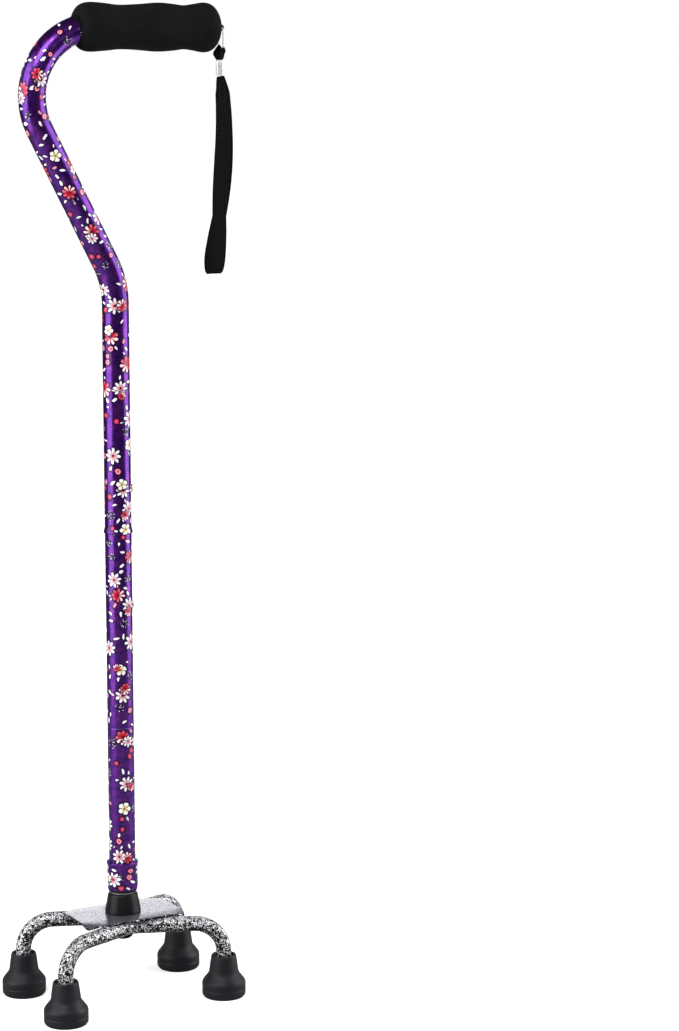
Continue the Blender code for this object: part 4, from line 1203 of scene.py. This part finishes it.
# --- grip ---------------------------------------------------------------------------------------------------
def grip():
    """Foam sleeve: one skin outside and one that follows the tube inside, joined at both ends."""
    sides = 112
    curve = smooth_points([(along, radius, 0) for along, radius in GRIP_OUTLINE], 6)
    outside = [(p.x, p.y) for p in curve]
    start_x = SHAFT_X + GRIP_START_X
    path = [p for p in bent_path(TUBE_END_X + 0.0026) if p.z > GRIP_Z - 0.02 and p.x > start_x - 0.001]
    path = spaced(path, 0.004)
    bore = TUBE_R + GAP
    rings = []
    stem = 0.0035
    for x in (TUBE_END_X + 0.0030, 0.0930):
        rings.append([at(x, stem * math.cos(a), GRIP_Z + stem * math.sin(a)) for a in turns(sides)])
    for along, radius in reversed(outside):
        ring = []
        for a in turns(sides):
            wave = 1 + 0.004 * math.sin(3 * a + along * 90) * math.sin(along * 140)
            r = radius * wave
            ring.append(at(GRIP_START_X + along, r * math.cos(a), GRIP_Z + r * math.sin(a)))
        rings.append(ring)
    first = path[0]
    rim = rings[-1]
    for share, inset in ((0.15, 0.0), (0.55, 0.0001)):
        ring = []
        for j, a in enumerate(turns(sides)):
            hole = Vector((start_x, bore * math.cos(a), first.z + bore * math.sin(a)))
            ring.append(rim[j].lerp(hole, share))
            ring[-1].x = start_x + inset
        rings.append(ring)
    rings += [circle(point, u, -v, bore, sides) for point, u, v in frames(path, (0, 1, 0))]
    points, faces, _ = closed_rings(rings, loop=True)
    made = piece("foam_sleeve", points, faces, [MATS["foam"]], "handle", ["foam_grip"], sharp=60)


def eyelet_plug():
    """Tube plug whose stem runs out through the foam to an eyelet."""
    outline = [(0, 0.0700), (0.0090, 0.0700), (INNER_R, 0.0704), (INNER_R, TUBE_END_X + GAP),
               (TUBE_R, TUBE_END_X + GAP), (TUBE_R, 0.0903), (0.0032, 0.0903), (0.0032, 0.0956), (0.0024, 0.0963),
               (0, 0.0963)]
    build = bmesh.new()
    stem = lathe("plug_stem", outline, at(0, 0, GRIP_Z), MATS["plastic"], "handle", sides=64, along="X", fillet=0)
    build.from_mesh(stem.data)
    bpy.data.objects.remove(stem)
    lug_r, hole_r, half = 0.0026, 0.0015, 0.0010
    sides = 48
    outer_ring, inner_ring = [], []
    for a in turns(sides):
        x, z = math.cos(a), math.sin(a)
        reach = lug_r
        if x < 0:
            reach = min(lug_r / max(abs(z), 1e-6), lug_r / max(abs(x), 0.35) * 1.9) if abs(x) > 0.2 else lug_r
        outer_ring.append((max(-0.0055, reach * x), max(-lug_r, min(lug_r, reach * z))))
        inner_ring.append((hole_r * x, hole_r * z))
    layers = [(outer_ring, scale, depth) for scale, depth in
              ((0.90, -half), (1.0, -half * 0.7), (1.0, half * 0.7), (0.90, half))]
    layers += [(inner_ring, scale, depth) for scale, depth in
               ((1.10, half), (1.0, half * 0.6), (1.0, -half * 0.6), (1.10, -half))]
    rings = [[at(LUG_X + x * scale, depth, GRIP_Z + z * scale) for x, z in ring] for ring, scale, depth in layers]
    points, faces, _ = closed_rings(rings, loop=True)
    lug = bpy.data.meshes.new("lug")
    lug.from_pydata([tuple(p) for p in points], [], faces)
    build.from_mesh(lug)
    bmesh.ops.recalc_face_normals(build, faces=build.faces)
    attach(from_build("eyelet_plug", build, [MATS["plastic"]], 40), "handle", ["grip_end_plug"])


# --- wrist strap --------------------------------------------------------------------------------------------
def split_ring():
    """Flattened split ring: one wire wound twice round, side by side."""
    wire, gap = 0.00040, 0.00045
    lap = rounded_box(RING_HALF_WIDTH, RING_HALF_HEIGHT, 0.0035, first=3)
    path = []
    total = 2 * len(lap)
    for i in range(total - 3):
        y, z = lap[i % len(lap)]
        t = i / (total - 1)
        jog = min(1.0, max(0.0, (t - 0.44) / 0.12))
        x = -gap + 2 * gap * jog * jog * (3 - 2 * jog)
        path.append(at(LUG_X + x, y, RING_TOP_Z - RING_HALF_HEIGHT + z))
    path = smooth_points(path, 2)
    rings = []
    last = len(path) - 1
    for i, (point, u, v) in enumerate(frames(path, (1, 0, 0))):
        end = min(i, last - i)
        rings.append(circle(point, u, v, wire * (0.25, 0.75)[end] if end < 2 else wire, 14))
    points, faces, _ = closed_rings(rings)
    capped(faces, None, 14, len(rings))
    piece("split_ring", points, faces, [MATS["chrome"]], "ring", ["strap_ring"], sharp=60)


def gathered_knot():
    """Webbing pinched together round the ring: a small pleated bead with a notch where the ring passes."""
    sides, rows = 64, 34
    centre = Vector((CRIMP_X - 0.0003, 0, 0))
    low, high = LOOP_LOW_Z - 0.0051, RING_BOTTOM_Z + 0.0030
    rings = []
    for i in range(rows):
        t = i / (rows - 1)
        z = low + (high - low) * t
        body = math.sin(math.pi * min(1.0, 0.10 + 0.86 * t)) ** 0.55
        wide_x = 0.0050 * body * (1.0 - 0.30 * max(0.0, t - 0.55))
        wide_y = 0.0029 * body
        lean = 0.0022 * max(0.0, t - 0.35) ** 1.2
        ring = []
        for a in turns(sides):
            pleat = 1 + 0.07 * math.sin(7 * a + 2.5 * t) + 0.04 * math.sin(13 * a - 4 * t)
            fold = 1 + 0.06 * math.sin(9 * t + 2 * math.cos(a))
            x = wide_x * pleat * fold * math.cos(a)
            y = wide_y * pleat * fold * math.sin(a)
            height = z
            if t > 0.55:
                notch = math.exp(-((x + lean - 0.0022) / 0.0013) ** 2)
                height -= 0.0034 * notch * (t - 0.55) / 0.45
            ring.append(at(centre.x + lean + x, y, height))
        rings.append(ring)
    points, faces, wraps = closed_rings(rings, lambda i, j: (0.02 * j / sides, 0.011 * i / rows))
    capped(faces, wraps, sides, rows)
    return piece("gathered_loop", points, faces, [MATS["webbing"]], "strap", ["strap_loop"], wraps,
                 sharp=60)


def crimp():
    """Folded metal ferrule whose two lips meet in a seam down its front."""
    sides = 96
    half_x, half_y, half_z = CRIMP_HALF
    section = []
    for a in turns(sides):
        c, s = math.cos(a), math.sin(a)
        x = half_x * math.copysign(abs(c) ** 0.55, c)
        y = half_y * math.copysign(abs(s) ** 0.55, s)
        seam = math.exp(-((x - 0.0013) / 0.00028) ** 2) if y < 0 else 0.0
        section.append((x, y + 0.0010 * seam))
    rings = []
    for up, scale in ((-1.0, 0.90), (-0.985, 0.96), (-0.95, 1.0), (-0.40, 0.985), (0.0, 0.965), (0.40, 0.985),
                      (0.95, 1.0), (0.985, 0.96), (1.0, 0.90)):
        rings.append([at(CRIMP_X + x * scale, y * scale, CRIMP_Z + half_z * up) for x, y in section])
    points, faces, _ = closed_rings(rings)
    capped(faces, None, sides, len(rings))
    return piece("ferrule", points, faces, [MATS["chrome"]], "strap", ["strap_crimp"], sharp=45)


def wrist_strap(others):
    """Flat webbing hand loop, narrow where the ferrule holds it."""
    route = [at(*p) for p in STRAP_ROUTE]
    path = smooth_points(route, 10)
    far = lengths(path)
    half, thick = STRAP_WIDTH / 2, STRAP_THICK / 2
    across = []
    steps = 20
    for k in range(steps + 1):
        x = -1 + 2 * k / steps
        bead = math.exp(-((abs(x) - 0.86) / 0.07) ** 2)
        groove = math.exp(-((abs(x) - 0.70) / 0.06) ** 2)
        round_off = math.sqrt(max(0.0, 1 - max(0.0, abs(x) - 0.93) ** 2 / 0.07 ** 2))
        across.append((x, (1.0 + 0.22 * bead - 0.30 * groove) * max(round_off, 0.25)))
    rings = []
    for i, (point, u, v) in enumerate(frames(path, (1, 0, 0), level=True)):
        end = min(far[i], far[-1] - far[i])
        wide = half * (0.50 + 0.50 * min(1.0, end / 0.015) ** 0.8)
        crumple = 0.0004 * math.exp(-end / 0.012)
        front = [point + u * (x * wide) + v * (t * thick + crumple * math.sin(9 * x)) for x, t in across]
        back = [point + u * (x * wide) - v * (t * thick - crumple * math.sin(9 * x)) for x, t in across[-2:0:-1]]
        rings.append(front + back)
    sides = len(rings[0])

    def where(i, j):
        return (STRAP_WIDTH * (j if j <= steps else 2 * steps - j) / steps, far[i])

    points, faces, wraps = closed_rings(rings, where)
    capped(faces, wraps, sides, len(path))
    made = piece("hand_loop", points, faces, [MATS["webbing"]], "strap", ["wrist_strap"], wraps,
                 sharp=70)


# --- CAD nodes that stay ------------------------------------------------------------------------------------
def dress_kept_nodes():
    """Materials for the hidden CAD solids that are shown as they are."""
    discs = [f"foot_disc_{y}_{x}" for x in ("left", "right") for y in ("front", "rear")]
    plugs = ["shaft_plug", "extension_bush", "lower_cord_plug", "upper_cord_plug"]
    for key, names in (("steel", ["adjust_spring", "lock_spring"] + discs), ("plastic", plugs)):
        for name in names:
            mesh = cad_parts[name].data
            mesh.materials.clear()
            mesh.materials.append(MATS[key])


# --- studio -------------------------------------------------------------------------------------------------
def area_light(name, place, target, wide, tall, radiance):
    """A soft box of a given brightness, whatever its size."""
    data = bpy.data.lights.new(name, "AREA")
    data.shape = "RECTANGLE"
    data.size, data.size_y = wide, tall
    data.energy = radiance * math.pi * wide * tall
    light = shown(name, data)
    light.location = place
    light.rotation_euler = (Vector(target) - Vector(place)).to_track_quat("-Z", "Y").to_euler()
    light.visible_camera = False


def round_camera(distance, degrees, height):
    """A place round the cane; 0 degrees is on the camera's side and positive is to its right."""
    heading = CAMERA_HEADING + math.pi + math.radians(degrees)
    return (SHAFT_X + distance * math.cos(heading), distance * math.sin(heading), height)


FLOOR_HALF = 30.0


def studio():
    middle = (SHAFT_X, 0, 0.42)
    # metres from the shaft, degrees round it, height, target, width, height and brightness
    for name, away, degrees, height, target, wide, tall, radiance in (
            ("left_softbox", 1.3, -62, 0.70, middle, 1.20, 1.8, 4.2),
            ("right_softbox", 1.2, 98, 0.70, middle, 1.00, 1.8, 4.2),
            ("key_softbox", 1.5, -10, 2.0, middle, 1.0, 0.9, 10.0),
            ("rear_card", 1.6, 180, 0.45, (SHAFT_X, 0, 0.10), 0.8, 0.9, 1.15)):
        area_light(name, round_camera(away, degrees, height), target, wide, tall, radiance)
    world = bpy.data.worlds.new("studio")
    bpy.context.scene.world = world
    world.use_nodes = True
    tree = Tree(world.node_tree)
    back = world.node_tree.nodes["Background"]
    seen = tree.add("ShaderNodeLightPath").outputs["Is Camera Ray"]
    # A pale band just above the horizon, which the plate's top shows from every side.
    aim = tree.add("ShaderNodeTexCoord").outputs["Generated"]
    rise = tree.split(aim)[2]
    band = tree.times(tree.step(rise, 0.07, 0.12), tree.fall(rise, 0.34, 0.42))
    room = tree.mix(band, (0.09, 0.09, 0.095), (0.50, 0.50, 0.52))
    tree.feed(back.inputs["Color"], tree.mix(seen, room, (1.0, 1.0, 1.0)))
    back.inputs["Strength"].default_value = 1.0
    mesh = bpy.data.meshes.new("floor")
    corners = ((-1, -1), (1, -1), (1, 1), (-1, 1))
    mesh.from_pydata([(x * FLOOR_HALF, y * FLOOR_HALF, 0) for x, y in corners], [], [(0, 1, 2, 3)])
    pale, floor_tree, shader = material("pale_floor", Roughness=0.9)
    place = floor_tree.place()
    grain = floor_tree.noise(place, 40.0, 3.0, 0.5)
    far = floor_tree.step(floor_tree.vector("LENGTH", place), 0.25, 1.40, 0.55, 1.0)
    seen = floor_tree.add("ShaderNodeLightPath").outputs["Is Camera Ray"]
    paper = floor_tree.mix(grain, (0.80, 0.80, 0.80), (0.84, 0.84, 0.84))
    link(floor_tree, shader, Base_Color=floor_tree.mix(seen, (0.50, 0.50, 0.50), paper),
         Emission_Color=(1.0, 1.0, 1.0), Emission_Strength=floor_tree.times(far, seen))
    mesh.materials.append(pale)
    floor = shown("floor", mesh)


def camera():
    data = bpy.data.cameras.new("camera")
    data.sensor_width = 36.0
    data.lens = CAMERA_LENS
    data.clip_start, data.clip_end = 0.05, 100.0
    made = shown("camera", data)
    made.location = at(*CAMERA_AT)
    look = Vector((math.cos(CAMERA_HEADING) * math.cos(CAMERA_PITCH),
                   math.sin(CAMERA_HEADING) * math.cos(CAMERA_PITCH), math.sin(CAMERA_PITCH)))
    made.rotation_euler = look.to_track_quat("-Z", "Y").to_euler()
    bpy.context.scene.camera = made


camera()
bpy.context.scene.view_settings.view_transform = "Standard"
shaft_tubes()
handle_tube()
collar()
feet()
leg_tubes()
base_plate()
hub()
extension()
snap_button("height_snap_button", ADJUST_BUTTON_Z, ADJUST_TIP_X, "adjust_button", "adjust_button")
snap_button("handle_snap_button", LOCK_BUTTON_Z, LOCK_TIP_X, "lock_button", "lock_button")
elastic()
grip()
eyelet_plug()
split_ring()
wrist_strap([gathered_knot(), crimp()])
dress_kept_nodes()
studio()
